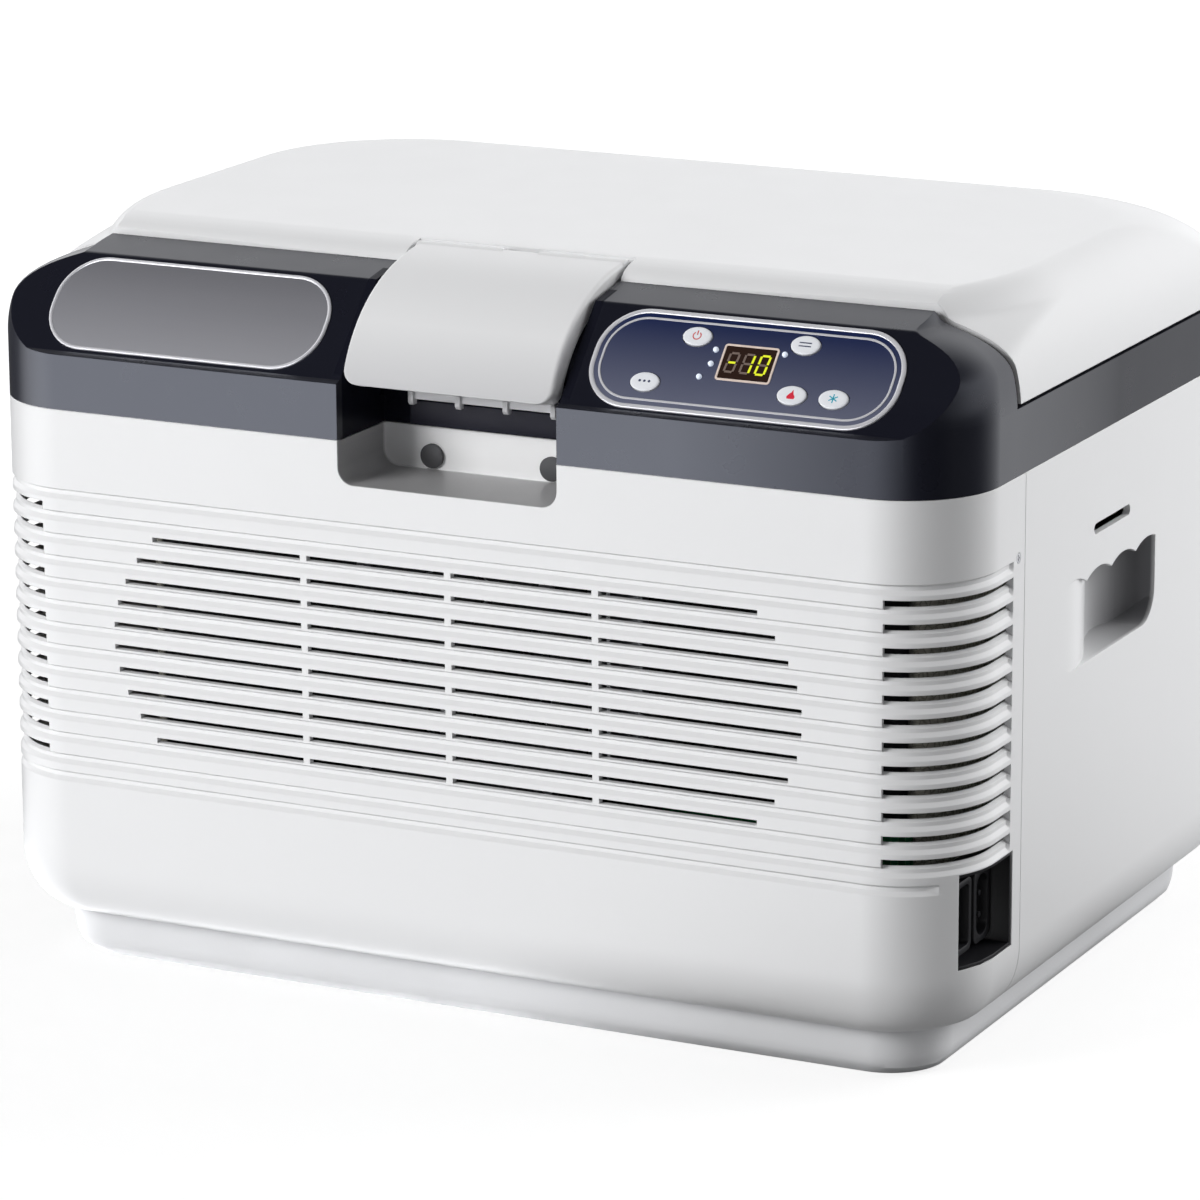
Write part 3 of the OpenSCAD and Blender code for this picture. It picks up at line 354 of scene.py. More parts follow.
def rim_gleam(tree, coord):
    """Rim mirror strength with painted shade: little in the latch notch, less towards the right end and the
    back.
    """
    across, along = axis_of(tree, coord, 0), axis_of(tree, coord, 1)
    inside = gate(tree, maths(tree, "ABSOLUTE", across), (NOTCH_HALF + 4) * MM, (NOTCH_HALF + 3.5) * MM)
    behind = times(tree, gate(tree, along, (4 - HD) * MM, (5 - HD) * MM),
                   gate(tree, along, (NOTCH_BACK + 8) * MM, (NOTCH_BACK + 7) * MM))
    notch = times(tree, inside, behind)
    front = times(tree, spread(tree, across, 0.1, 0.175, 0.0, 0.55), gate(tree, along, -0.15, -0.155))
    side = times(tree, gate(tree, across, (HW - 4) * MM, (HW - 2) * MM),
                 spread(tree, along, -0.11, 0.0, 0.0, 0.85))
    # painted shade in the notch, and a painted fade of the reflections at the right end and the sides
    dull = maths(tree, "MAXIMUM", notch, maths(tree, "MAXIMUM", front, side))
    return spread(tree, dull, 0.0, 1.0, 0.5, 0.04)


def flap_painted_shade(tree, coord, base):
    """Painted shade: slightly darker towards the flap's lower edge."""
    height = gate(tree, axis_of(tree, coord, 2), (LID_Z - 4) * MM, (LID_Z + 20) * MM)
    return blend_colour(tree, height, rgb((0.6, 0.602, 0.615)), base)


def grip_tone(tree, coord, base):
    """White wall that falls into shade in the depth of the finger recesses."""
    across, along, height = (axis_of(tree, coord, k) for k in range(3))
    deep = gate(tree, maths(tree, "ABSOLUTE", across), (HW - 0.4) * MM, (HW - 2) * MM)
    rows = times(tree, gate(tree, height, 0.142, 0.146), gate(tree, height, 0.191, 0.187))
    near = times(tree, gate(tree, along, -0.035, 0.042), gate(tree, along, 0.05, 0.046))
    shade = times(tree, deep, rows, near)
    return blend_colour(tree, shade, base, rgb((0.16, 0.16, 0.17)))


def pocket_tone(tree, coord, base):
    """Painted shade on the floor and the cheeks of the latch pocket, and a painted highlight on its back
    wall.
    """
    across, along, height = (axis_of(tree, coord, k) for k in range(3))
    inside = gate(tree, maths(tree, "ABSOLUTE", across), (NOTCH_HALF + 1.4) * MM, (NOTCH_HALF + 1.2) * MM)
    behind = times(tree, gate(tree, along, (0.1 - HD) * MM, (1.2 - HD) * MM),
                   gate(tree, along, (NOTCH_BACK - 0.3) * MM, (NOTCH_BACK - 2) * MM))
    above = spread(tree, height, (NOTCH_FLOOR - 6) * MM, (NOTCH_FLOOR - 5) * MM, 0.0, 0.6)
    shade = times(tree, inside, behind, above)
    # painted highlight: the pocket's back wall is blended towards white
    back = times(tree, inside, gate(tree, along, (NOTCH_BACK - 0.3) * MM, (NOTCH_BACK - 0.1) * MM))
    base = blend_colour(tree, times(tree, back, above), base, rgb((1.0, 1.0, 1.0)))
    return blend_colour(tree, shade, base, rgb((0.2, 0.195, 0.2)))


def overlay_tone(tree, coord, base):
    """Navy at the top of the panel, grey-blue at its foot."""
    height = gate(tree, axis_of(tree, coord, 2), (SLOPE_FOOT[1] + 3) * MM, (SLOPE_HEAD[1] - 3) * MM)
    return blend_colour(tree, height, rgb((0.13, 0.14, 0.2)), rgb((0.008, 0.016, 0.07)))


def badge_tone(tree, coord, base):
    height = gate(tree, axis_of(tree, coord, 2), (SLOPE_FOOT[1] + 3) * MM, (SLOPE_HEAD[1] - 3) * MM)
    return blend_colour(tree, height, rgb((0.36, 0.36, 0.39)), rgb((0.2, 0.2, 0.22)))


def beads_and_painted_shade(tree, coord, base):
    """Expanded beads: a net of darker joints; the front face is painted near black as shade seen through
    the slots.
    """
    cells = node(tree, "ShaderNodeTexVoronoi", {"feature": "DISTANCE_TO_EDGE"},
                 {"Vector": coord, "Scale": 320.0})
    beads = blend_colour(tree, gate(tree, cells.outputs[0], 0.0, 0.12), rgb((0.55, 0.52, 0.44)), base)
    # painted shade: the foam's front face, seen through the louvre slots, goes near black
    front = gate(tree, axis_of(tree, coord, 1), -0.096, -0.098)
    return blend_colour(tree, front, beads, rgb((0.012, 0.012, 0.014)))


def trace_tone(tree, coord, base):
    """Copper tracks under the solder mask."""
    wave = node(tree, "ShaderNodeTexBrick", None, {"Vector": coord, "Scale": 160.0,
                                                   "Color1": rgb((0.02, 0.2, 0.08)),
                                                   "Color2": rgb((0.02, 0.12, 0.05)),
                                                   "Mortar": rgb((0.1, 0.32, 0.12))})
    return wave.outputs[0]


WHITE = dict(colour=(0.82, 0.823, 0.83), rough=0.34, grain=(1500.0, 0.012), mottle=0.004, bevel=0.45,
             uneven=0.06)
LOOKS = {
    "white_plastic": WHITE,
    "pan_plastic": dict(colour=(0.78, 0.785, 0.8), rough=0.45, grain=(900.0, 0.1), mottle=0.02, bevel=0.5),
    "navy_plastic": dict(colour=(0.009, 0.0095, 0.016), rough=0.28, grain=(1500.0, 0.006), mottle=0.03,
                         bevel=0.4,
                         uneven=0.04, gleam=rim_gleam, gleam_tint=(0.86, 0.9, 1.0)),
    "keeper_plastic": dict(colour=(0.014, 0.014, 0.022), rough=0.4, mottle=0.08, bevel=0.3, gleam=0.1),
    "plug_plastic": dict(colour=(0.085, 0.085, 0.09), rough=0.5, mottle=0.1, bevel=0.4),
    "black_plastic": dict(colour=(0.012, 0.012, 0.014), rough=0.38, mottle=0.08, bevel=0.3),
    "fan_plastic": dict(colour=(0.02, 0.02, 0.022), rough=0.4, mottle=0.08),
    "liner_plastic": dict(colour=(0.62, 0.63, 0.65), rough=0.34, grain=(1100.0, 0.05), mottle=0.02,
                          coat=0.1, bevel=0.5),
    "hook_plastic": dict(colour=(0.8, 0.8, 0.82), rough=0.35, mottle=0.02, bevel=0.25),
    "key_plastic": dict(colour=(0.86, 0.88, 0.92), rough=0.3, grain=(1800.0, 0.03), mottle=0.01, coat=0.2),
    "foot_rubber": dict(colour=(0.03, 0.03, 0.03), rough=0.8, grain=(600.0, 0.3), mottle=0.15, bevel=0.4),
    "seal_rubber": dict(colour=(0.035, 0.035, 0.038), rough=0.7, grain=(700.0, 0.2), mottle=0.12,
                        bevel=0.4),
    "badge_metal": dict(colour=(0.3, 0.3, 0.33), rough=0.42, metal=0.25, grain=(260.0, 0.05), mottle=0.03,
                        stretch=(0.15, 6.0, 6.0), tone=badge_tone),
    "ring_metal": dict(colour=(0.86, 0.86, 0.9), rough=0.22, metal=0.35, grain=(1200.0, 0.03), mottle=0.02),
    "overlay_film": dict(colour=(0.03, 0.04, 0.1), rough=0.34, grain=(1600.0, 0.05), mottle=0.04,
                         tone=overlay_tone),
    "window_plastic": dict(colour=(0.03, 0.014, 0.01), rough=0.16, grain=(1600.0, 0.01), mottle=0.1,
                           coat=0.4),
    "led_plastic": dict(colour=(0.8, 0.85, 0.95), rough=0.25, mottle=0.02, glow=(0.75, 0.85, 1.0, 0.35)),
    "module_plastic": dict(colour=(0.015, 0.015, 0.015), rough=0.5, mottle=0.1),
    "board_laminate": dict(colour=(0.02, 0.14, 0.06), rough=0.4, grain=(800.0, 0.1), mottle=0.1,
                           tone=trace_tone),
    "foam": dict(colour=(0.82, 0.79, 0.7), rough=0.9, grain=(320.0, 0.6), mottle=0.06, tone=beads_and_painted_shade),
    "ceramic": dict(colour=(0.8, 0.8, 0.78), rough=0.6, mottle=0.04),
    "aluminium": dict(colour=(0.62, 0.63, 0.65), rough=0.36, metal=1.0, grain=(500.0, 0.08),
                      stretch=(1.0, 1.0, 0.06)),
    "screw_steel": dict(colour=(0.55, 0.55, 0.57), rough=0.3, metal=1.0, grain=(900.0, 0.08)),
    "pin_steel": dict(colour=(0.52, 0.52, 0.54), rough=0.28, metal=1.0, grain=(700.0, 0.06),
                      stretch=(0.1, 3.0, 3.0)),
    "spring_steel": dict(colour=(0.38, 0.38, 0.4), rough=0.35, metal=1.0, grain=(900.0, 0.08)),
    "cable_sheath": dict(colour=(0.02, 0.02, 0.02), rough=0.55, grain=(700.0, 0.15), mottle=0.1),
}
MATERIALS = {slot: surface(slot, **look) for slot, look in LOOKS.items()}
SLOT_OF = {part["node"]: part["material_slot"] for part in record["subparts"]}
BODY_OF = {n: b for b, names in record["behaviour"]["bodies"].items() for n in names}


# ---- Placing pieces ----

def clean(mesh, weld):
    bm = bmesh.new()
    bm.from_mesh(mesh)
    bmesh.ops.remove_doubles(bm, verts=bm.verts, dist=weld)
    bmesh.ops.dissolve_degenerate(bm, edges=bm.edges, dist=weld)
    bm.to_mesh(mesh)
    bm.free()


def piece(obj, name, stands_for=None, slot=None, body=None, bevel=0.0, sharp=30.0, material=None,
          weld=0.004):
    """Scales a finished mesh to metres, gives it its finish and fixes it to its body."""
    first = (stands_for or [None])[0]
    slot = slot or SLOT_OF[first]
    obj.name = name
    obj.data.name = name
    clean(obj.data, weld)
    obj.data.transform(Matrix.Scale(MM, 4))
    obj.data.materials.clear()
    obj.data.materials.append(material or MATERIALS[slot])
    obj.data.polygons.foreach_set("use_smooth", [True] * len(obj.data.polygons))
    if bevel:
        mod = obj.modifiers.new("edge", "BEVEL")
        mod.width = bevel * MM
        mod.segments = 2
        mod.limit_method = "ANGLE"
        mod.angle_limit = math.radians(sharp)
        mod.harden_normals = False
    else:
        obj.data.set_sharp_from_angle(angle=math.radians(sharp))
    smooth = obj.modifiers.new("normals", "WEIGHTED_NORMAL")
    smooth.keep_sharp = True
    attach(obj, body or BODY_OF[first])
    if stands_for:
        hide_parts(*stands_for)
    return obj


# ---- Body shells ----

def body_rows(steps=12):
    """Rows of the wall from the bottom plate up to the straight part: z, inset, radius, outer and inner."""
    outer, inner = [(PAN_H, 30, 18)], [(PAN_H + WALL, 30, 18)]
    for k in range(steps + 1):
        t = math.radians(90 - 90 * k / steps)
        inset = CURVE_IN * (1 - math.cos(t))
        z = CURVE_TOP - (CURVE_TOP - PAN_H) * math.sin(t)
        r = CORNER - 8 * (1 - math.cos(t))
        outer.append((z, inset, r))
        inner.append((z + WALL * math.sin(t), inset + WALL * math.cos(t), r - WALL * math.cos(t)))
    return outer, inner


LOWEST_GROOVE = 86.2                     # stops short of the sockets on the right
GROOVE_TOPS = [LOUVRE_TOP - PITCH * i - 1.7 for i in range(-1, ROWS)] + [LOWEST_GROOVE]
GROOVE = [(0.0, 0.0), (-0.25, 0.1), (-1.0, 1.25), (-2.7, 1.25), (-4.3, 0.1), (-4.7, 0.0)]


def front_row(z, inset, r, depth=0.0, n=FINE):
    """One level of the front panel, from the right seam round the front to the left seam."""
    hx, hy = HW - inset, HD - inset
    sides = []
    for side in (1, -1):
        short = side > 0 and z < LOWEST_GROOVE + 1
        d = 0.0 if short else depth
        pts = [(side * hx, SEAM_Y - 0.2), (side * hx, SLOT_END), (side * (hx - d), SLOT_END - 1.5)]
        for i in range(n + 1):
            d = 0.0 if short and i < 0.54 * n else depth
            a = math.radians(-90 * i / n)
            pts.append((side * (hx - r + (r - d) * math.cos(a)), r - hy + (r - d) * math.sin(a)))
        sides.append(pts)
    return [(x, y, z) for x, y in sides[0] + sides[1][::-1]]


def row_z(i):
    return LOUVRE_TOP - PITCH * i


def corner_sweep(i, side):
    """Cutter of one corner louvre: a slot with a sloped sill, round the corner and along the side."""
    section = [(-WALL - 1.5, 1.25), (1.2, 1.25), (1.2, -4.3), (-WALL - 0.2, -1.55), (-WALL - 1.5, -1.55)]
    start = math.degrees(math.asin(8.4 / CORNER))
    rings = []
    for k in range(19):
        a = math.radians(start - 90 + (90 - start) * k / 18)
        rings.append([(side * (HW - CORNER + (CORNER + o) * math.cos(a)),
                       CORNER - HD + (CORNER + o) * math.sin(a), row_z(i) + dz) for o, dz in section])
    rings.append([(side * (HW + o), SLOT_END, row_z(i) + dz) for o, dz in section])
    return skin(rings)


def slot_box(x0, x1, z):
    return block((x0, -HD - 2, z - 1.05), (x1, -HD + WALL + 2, z + 1.05))


def pocket(half, z0, z1, r, n=12):
    """Outline in x and z with square top corners and round bottom corners."""
    pts = [(half, z1)]
    pts += [(half - r + r * math.cos(math.radians(-a)), z0 + r + r * math.sin(math.radians(-a)))
            for a in [90 * k / n for k in range(n + 1)]]
    pts += [(-x, z) for x, z in reversed(pts)]
    return pts


outer_rows, inner_rows = body_rows()
levels = [(z, inset, r, 0.0) for z, inset, r in outer_rows]
inner_levels = list(inner_rows)
for top in sorted(GROOVE_TOPS):
    for dz, depth in reversed(GROOVE):
        levels.append((top + dz, 0.0, CORNER, depth))
        inner_levels.append((top + dz, WALL, CORNER - WALL))
for z, inset in ((RIM_Z - 0.4, 0.0), (RIM_Z, 0.35)):
    levels.append((z, inset, CORNER, 0.0))
    inner_levels.append((z, WALL, CORNER - WALL))
front = thick_sheet([front_row(*row) for row in levels], [front_row(*row) for row in inner_levels])
front = add(front, prism(pocket(NOTCH_HALF + 2.5, NOTCH_FLOOR - 2.5, RIM_Z - 0.5, 9.5), "y", -HD + 1.5,
                         NOTCH_BACK + 2.5))
slots = []
for i in range(1, ROWS - 1):
    half = 155 - 0.95 * (i - (ROWS - 1) / 2) ** 2
    for x0, x1 in ((-half, -67), (-64, -1.5), (1.5, 64), (67, half)):
        slots.append(slot_box(x0, x1, row_z(i)))
for i in range(ROWS):
    slots += [corner_sweep(i, 1), corner_sweep(i, -1)]
front = cut(front, join(slots))
front = cut(front, prism(pocket(NOTCH_HALF, NOTCH_FLOOR, RIM_Z + 3, 7), "y", -HD - 3, NOTCH_BACK))
front = cut(front, block((HW - 26, -146.4, 49.4), (HW + 5, -107, 88.6)))
for side in (-1, 1):
    front = cut(front, rod("x", side * HW - 5, side * HW + 5, (SEAM_Y - 6.5, 207), 2.2))
piece(front, "vis_front_panel", ["front_panel"], sharp=25,
      material=surface("panel_plastic", tone=pocket_tone, **WHITE))


def rear_row(z, inset, r, n=FINE):
    hx, hy = HW - inset, HD - inset
    right = [(hx, SEAM_Y + 0.2)]
    right += [(hx - r + r * math.cos(math.radians(90 * i / n)),
               hy - r + r * math.sin(math.radians(90 * i / n)))
              for i in range(n + 1)]
    pts = right + [(-x, y) for x, y in reversed(right)]
    return [(x, y, z) for x, y in pts]


def grip_outline(g):
    """Finger recess in y and z: round corners and four scallops along the top edge."""
    y0, y1, z0, top = -60 - g, 44 + g, 147 - g, 181 + g
    r = 14 + g
    pts = [(y1 - r + r * math.cos(math.radians(a)), z0 + r + r * math.sin(math.radians(a)))
           for a in [-90 + 90 * k / 12 for k in range(13)]]
    bump = 29.7 + g
    scallops = []
    for k in range(4):
        centre = 35.4 - 27 * k
        half = 13.5 if k else 8.6 + g
        for j in range(13):
            y = centre + half - (half + 13.5) * j / 12
            if y0 < y < y1 + 0.01:
                scallops.append((y, 154.3 + math.sqrt(max(bump * bump - (y - centre) ** 2, 0))))
    pts += [(y1, top)] if scallops[0][0] < y1 - 1 else []
    pts += scallops
    pts += [(y0, top)]
    pts += [(y0 + r + r * math.cos(math.radians(a)), z0 + r + r * math.sin(math.radians(a)))
            for a in [180 + 90 * k / 12 for k in range(13)]]
    return pts


def grip_depth(g):
    """Depth of the recess in x and y: a bowl that starts at nothing in front and is steep at the back."""
    y0, y1, deepest, depth = -60 - g, 44 + g, 0.76, 17
    pts = [(HW + 3, y0), (HW - g * 0.6, y0)]
    for k in range(1, 40):
        s = k / 40
        if s < deepest:
            d = depth * math.sin(math.pi / 2 * s / deepest) ** 3.2
        else:
            d = depth * math.sqrt(1 - ((s - deepest) / (1 - deepest)) ** 2)
        pts.append((HW - g - d, y0 + (y1 - y0) * s))
    return pts + [(HW - g - 1.5, y1), (HW + 3, y1)]


def grip(g, side):
    tool = prism(grip_outline(g), "x", HW - 40, HW + 2)
    tool = common(tool, prism(grip_depth(g), "z", 130, 200))
    if side < 0:
        tool.data.transform(Matrix.Scale(-1, 4, (1, 0, 0)))
        tool.data.flip_normals()
    return tool


top_rows = [(RIM_Z - 0.4, 0.0, CORNER), (RIM_Z, 0.35, CORNER)]
rear = thick_sheet([rear_row(*row) for row in outer_rows + top_rows],
                   [rear_row(*row) for row in inner_rows +
                    [(z, WALL, CORNER - WALL) for z, _, _ in top_rows]])
for side in (-1, 1):
    keep = sorted((side * (HW - 40), side * (HW - 1)))
    housing = common(grip(2.5, side), block((keep[0], -80, 100), (keep[1], 80, 200)))
    rear = add(rear, housing)
    rear = cut(rear, grip(0, side))
    ends = sorted((side * (HW - 10), side * (HW + 3)))
    slot = prism([(y, z) for y, z in rounded(19.75, 2.25, 2.2, 8, at=(-5.25, 200.25))], "x", *ends)
    rear = cut(rear, slot)
piece(rear, "vis_rear_shell", ["rear_shell"], sharp=28,
      material=surface("shell_plastic", tone=grip_tone, **WHITE))


# ---- Base pan ----

PAN_ROWS = [(0, 24.6, 23.4), (0.5, 24.1, 24), (3.5, 21, 25), (6, 20, 26), (9, 19.4, 26),
            (PAN_H + 0.4, 18.5, 26)]
pan_outside = [(z, HW - d, HD - d, r, 0) for z, d, r in PAN_ROWS]
pan = loft(pan_outside)
pan = cut(pan, loft([(max(z, WALL) if k else WALL, HW - d - WALL, HD - d - WALL, r - WALL, 0)
                     for k, (z, d, r) in enumerate(PAN_ROWS) if z in (0, 9) or z > PAN_H] +
                    [(PAN_H + 3, HW - 18.5 - WALL, HD - 18.5 - WALL, 23, 0)]))
screw_at = [(x, y) for x in (-188, 188) for y in (-133, 133)] + [(-100, -133), (100, -133)]
feet_at = [(sx * (HW - 52), sy * (HD - 56)) for sx in (-1, 1) for sy in (-1, 1)]
bosses = common(join([rod("z", 1, PAN_H, p, 6) for p in screw_at]), loft(pan_outside))
pan = add(pan, bosses)    # clipped: the corner bosses are wider than the rounded corner near the floor
pan = add(pan, *[rod("z", 1, 5, p, 14) for p in feet_at])
pan = add(pan, *[block((x - 1, 30 - HD, WALL - 1), (x + 1, HD - 30, 9)) for x in range(-120, 121, 60)])
pan = cut(pan, join([rod("z", 8, PAN_H + 2, p, 1.7) for p in screw_at]))
pan = cut(pan, join([rod("z", -1, 7, p, 3.6) for p in screw_at]))
pan = cut(pan, join([rod("z", -1, 2.5, p, 11) for p in feet_at]))
foot_skin = cut(loft(pan_outside[:3]),    # keeps the corner screws' counterbores from opening the side
                loft([(z + lift, HW - d - 0.9, HD - d - 0.9, r - 0.9, 0)
                      for (z, d, r), lift in zip(PAN_ROWS[:3], (-0.1, 0, 0.1))]))
pan = add(pan, foot_skin)
piece(pan, "vis_base_pan", ["base_pan"], sharp=28)


# ---- Rim frame ----

LID_RUN, LID_BACK_RUN, FULLNESS = 23, 58, 1.78
FRONT_GROWTH, FRONT_LIMIT = 222, 130


def shoulder(z):
    """How far the lid's shoulder has run inward at one height, 0 to 1."""
    rise = min(max((z - LID_Z) / (TOP - LID_Z), 0.0), 1.0)
    return 1 - (1 - rise ** FULLNESS) ** (1 / FULLNESS)


def lid_half_width(z):
    """Half width of the lid's surface at one height where it meets the fascia."""
    inward = shoulder(z)
    r = min(CORNER + FRONT_GROWTH * inward, FRONT_LIMIT)
    reach = min(HD + FASCIA_BACK, r)
    return HW - LID_RUN * inward - r + math.sqrt(r * r - (r - reach) ** 2)


def dome(g, steps=30):
    rows = [(LID_Z - 29, HW + g, HD + g, CORNER + g, 0), (LID_Z - 0.01, HW + g, HD + g, CORNER + g, 0)]
    for k in range(steps + 1):
        t = math.radians(90 * k / steps)
        back, forward = HD + g - 60 * (1 - math.cos(t)), HD + g
        z = LID_Z + (TOP - LID_Z) * math.sin(t)
        rows.append((LID_Z + (TOP - LID_Z + g) * math.sin(t), lid_half_width(z) + g,
                     (back + forward) / 2, CORNER + g + 40 * (1 - math.cos(t)), (back - forward) / 2))
    return loft(rows)


FOOT_Z = SLOPE_FOOT[1] - 1
head_curve = [(SLOPE_HEAD[0] - 1.2, SLOPE_HEAD[1] - 1.3), (SLOPE_HEAD[0] - 0.4, SLOPE_HEAD[1] - 0.5),
              (SLOPE_HEAD[0] + 0.8, SLOPE_HEAD[1] + 0.1)]
rim_side = [(-HD - 1, RIM_Z), (-HD - 1, FOOT_Z), (-HD, FOOT_Z), SLOPE_FOOT] + head_curve + [
    (FASCIA_BACK, LID_Z + 35.8), (FASCIA_BACK, LID_Z), (HD + 1, LID_Z), (HD + 1, RIM_Z)]
rim = common(dome(0), prism(rim_side, "x", -HW - 1, HW + 1))
space = [(-HD - 2, RIM_Z - 4), (HD + 2, RIM_Z - 4), (HD + 2, LID_Z - 9), (FASCIA_BACK - WALL, LID_Z - 9),
         (FASCIA_BACK - WALL, LID_Z + 32.6), (SLOPE_HEAD[0] + 1.1, SLOPE_HEAD[1] - 3.1),
         (SLOPE_FOOT[0] + 2.2, SLOPE_FOOT[1] - 2), (SLOPE_FOOT[0] + 2.2, LID_Z - 9), (-HD - 2, LID_Z - 9)]
rim = cut(rim, common(dome(-WALL), prism(space, "x", -HW, HW)))
rim = cut(rim, common(dome(-WALL), block((-HW, FASCIA_BACK, LID_Z - 10), (HW, HD + 2, LID_Z + 2))))
deck = prism(rounded(HW - 1.5, HD - 1.5, CORNER - 1.5), "z", DECK_Z - WALL, DECK_Z)
deck = common(deck, block((-HW, FASCIA_BACK - WALL + 0.5, 0), (HW, HD + 5, 400)))
deck = cut(deck, prism(rounded(149, (128 + 75) / 2 + 1, 15, 12, (128 - 75) / 2), "z", 200, 300))
rim = add(rim, deck)
cheek = [(-HD, RIM_Z), (-HD, FOOT_Z), SLOPE_FOOT, SLOPE_HEAD, (FASCIA_BACK, LID_Z + 35.8),
         (FASCIA_BACK, DECK_Z),
         (NOTCH_BACK + WALL, DECK_Z), (NOTCH_BACK + WALL, RIM_Z)]
for side in (-1, 1):
    ends = sorted((side * (NOTCH_HALF - 1), side * (NOTCH_HALF + WALL)))
    rim = add(rim, prism(cheek, "x", *ends))
LEDGE = LID_Z + 23
rim = add(rim, block((-NOTCH_HALF - 1, NOTCH_BACK - 0.5, RIM_Z),
                     (NOTCH_HALF + 1, NOTCH_BACK + WALL, LEDGE)))
rim = add(rim, block((-NOTCH_HALF - 1, NOTCH_BACK, LEDGE - WALL),
                     (NOTCH_HALF + 1, FASCIA_BACK - 0.5, LEDGE)))
rim = cut(rim, block((-NOTCH_HALF, -HD - 5, RIM_Z - 5), (NOTCH_HALF, NOTCH_BACK, TOP + 5)))
rim = cut(rim, block((-NOTCH_HALF, NOTCH_BACK - 1, LEDGE), (NOTCH_HALF, FASCIA_BACK + 1, TOP + 5)))
rim = cut(rim, block((-36, NOTCH_BACK - 1, RIM_Z - 5), (36, NOTCH_BACK + WALL + 1, LID_Z - 5)))

KEYS = ["power_button", "set_button", "aux_button", "heat_button", "cool_button"]
key_at = {k: slope_place(k) for k in KEYS}
PANEL_X, PANEL_S = slope_place("control_overlay")
BADGE_X, BADGE_S = slope_place("badge_plate")
DISPLAY_X, DISPLAY_S = slope_place("display_window")
LEDS = [(PANEL_X + dx, s) for dx, s in ((-15, 30.4), (-15.2, 24), (-18.3, 17.8), (14.2, 31.2))]


def key_space(p, grow=0.3):
    return turned_to_slope(prism(oval(6.25 + grow, 4.25 + grow), "z", -8, 5), *p)


def face_holes():
    tools = [key_space(p) for p in key_at.values()]
    tools += [turned_to_slope(prism(oval(1.25, 1.25, 24), "z", -8, 5), *p) for p in LEDS]
    tools.append(turned_to_slope(prism(rounded(11.25, 7.75, 0.8, 6), "z", -8, 5), DISPLAY_X, DISPLAY_S))
    return tools


rim = cut(rim, *face_holes())
holes = [rod("y", HD - 5, HD + 2, (s * 120 + dx, LID_Z - 17), 1.6) for s in (-1, 1) for dx in (-18, 18)]
rim = cut(rim, *holes)
piece(rim, "vis_rim_frame", ["rim_frame"], sharp=28)

# Painted shade: near-black strips fill the gap behind the lid's set-back corners, standing in for the shade
# in that gap.
strips = []
for side in (-1, 1):
    plan = [(side * 58, FASCIA_BACK - 0.3), (side * 58, LID_FRONT - 0.4),
            (side * (HW - 1), LID_FRONT + 2.4),
            (side * (HW - 1), FASCIA_BACK - 0.3)]
    strips.append(common(dome(-1.1), prism(plan, "z", LID_Z - 1, LID_Z + 34.9)))
piece(join(strips), "vis_lid_gap_shade_strip", None, "seal_rubber", "cabinet", sharp=30)


# ---- Fascia furniture ----

def band_ring(hx, hy, r, width, rows, n=20):
    """Rounded ring: rows give z and how far its outer and inner sides draw in."""
    outer = [[(x, y, z) for x, y in rounded(hx - d, hy - d, r - d, n)] for z, d in rows]
    inner = [[(x, y, z) for x, y in rounded(hx - width + d, hy - width + d, r - width + d, n)] for z,
             d in rows]
    stack = outer + inner[::-1]
    m = len(stack[0])
    faces = []
    for k in range(len(stack)):
        nxt = (k + 1) % len(stack)
        faces += [(k * m + i, k * m + (i + 1) % m, nxt * m + (i + 1) % m, nxt * m + i) for i in range(m)]
    return solid("ring", [p for ring in stack for p in ring], faces)


RING_ROWS = [(-0.2, 0), (0.55, 0), (0.85, 0.25), (1.0, 0.7)]
THIN_ROWS = [(PLATE - 0.2, 0), (PLATE + 0.18, 0), (PLATE + 0.3, 0.2)]
outer_ring = turned_to_slope(band_ring(66, 22.5, 20, 2, RING_ROWS), PANEL_X, PANEL_S)
inner_ring = turned_to_slope(band_ring(62.2, 18.7, 16.4, 0.9, THIN_ROWS), PANEL_X, PANEL_S)
piece(join([outer_ring, inner_ring]), "vis_control_bezel", ["control_bezel"], sharp=50)
badge_ring = turned_to_slope(band_ring(64, 22, 20, 1.5, RING_ROWS), BADGE_X, BADGE_S)
piece(badge_ring, "vis_badge_ring", ["badge_ring"], sharp=50)
plate = skin(stadium_rows(62.6, 20.6, 18.6, [(-0.2, 0), (PLATE - 0.15, 0), (PLATE, 0.2)]))
piece(turned_to_slope(plate, BADGE_X, BADGE_S), "vis_badge_plate", ["badge_plate"], sharp=40)
film = skin(stadium_rows(64.1, 20.6, 18.1, [(-0.2, 0), (PLATE, 0)]))
film = cut(turned_to_slope(film, PANEL_X, PANEL_S), *face_holes())
piece(film, "vis_control_overlay", ["control_overlay"], sharp=30)

KEY_ROWS = [(-4.8, -1.2), (-3.6, -1.2), (-3.6, 0), (0.75, 0), (1.05, 0.12), (1.28, 0.4), (1.42, 0.95),
            (1.5, 2.0)]
for k in KEYS:
    rings = [[(x, y, z) for x, y in oval(6.25 - d, 4.25 - d)] for z, d in KEY_ROWS]
    cap = add(skin(rings), rod("z", -6.6, -4, (0, 0), 2, 24))
    piece(turned_to_slope(cap, *key_at[k]), "vis_" + k, [k], sharp=35)

INK = {
    "power_button": (0.62, 0.1, 0.1), "set_button": (0.05, 0.06, 0.12), "aux_button": (0.05, 0.06, 0.12),
    "heat_button": (0.75, 0.03, 0.06), "cool_button": (0.03, 0.42, 0.55),
}


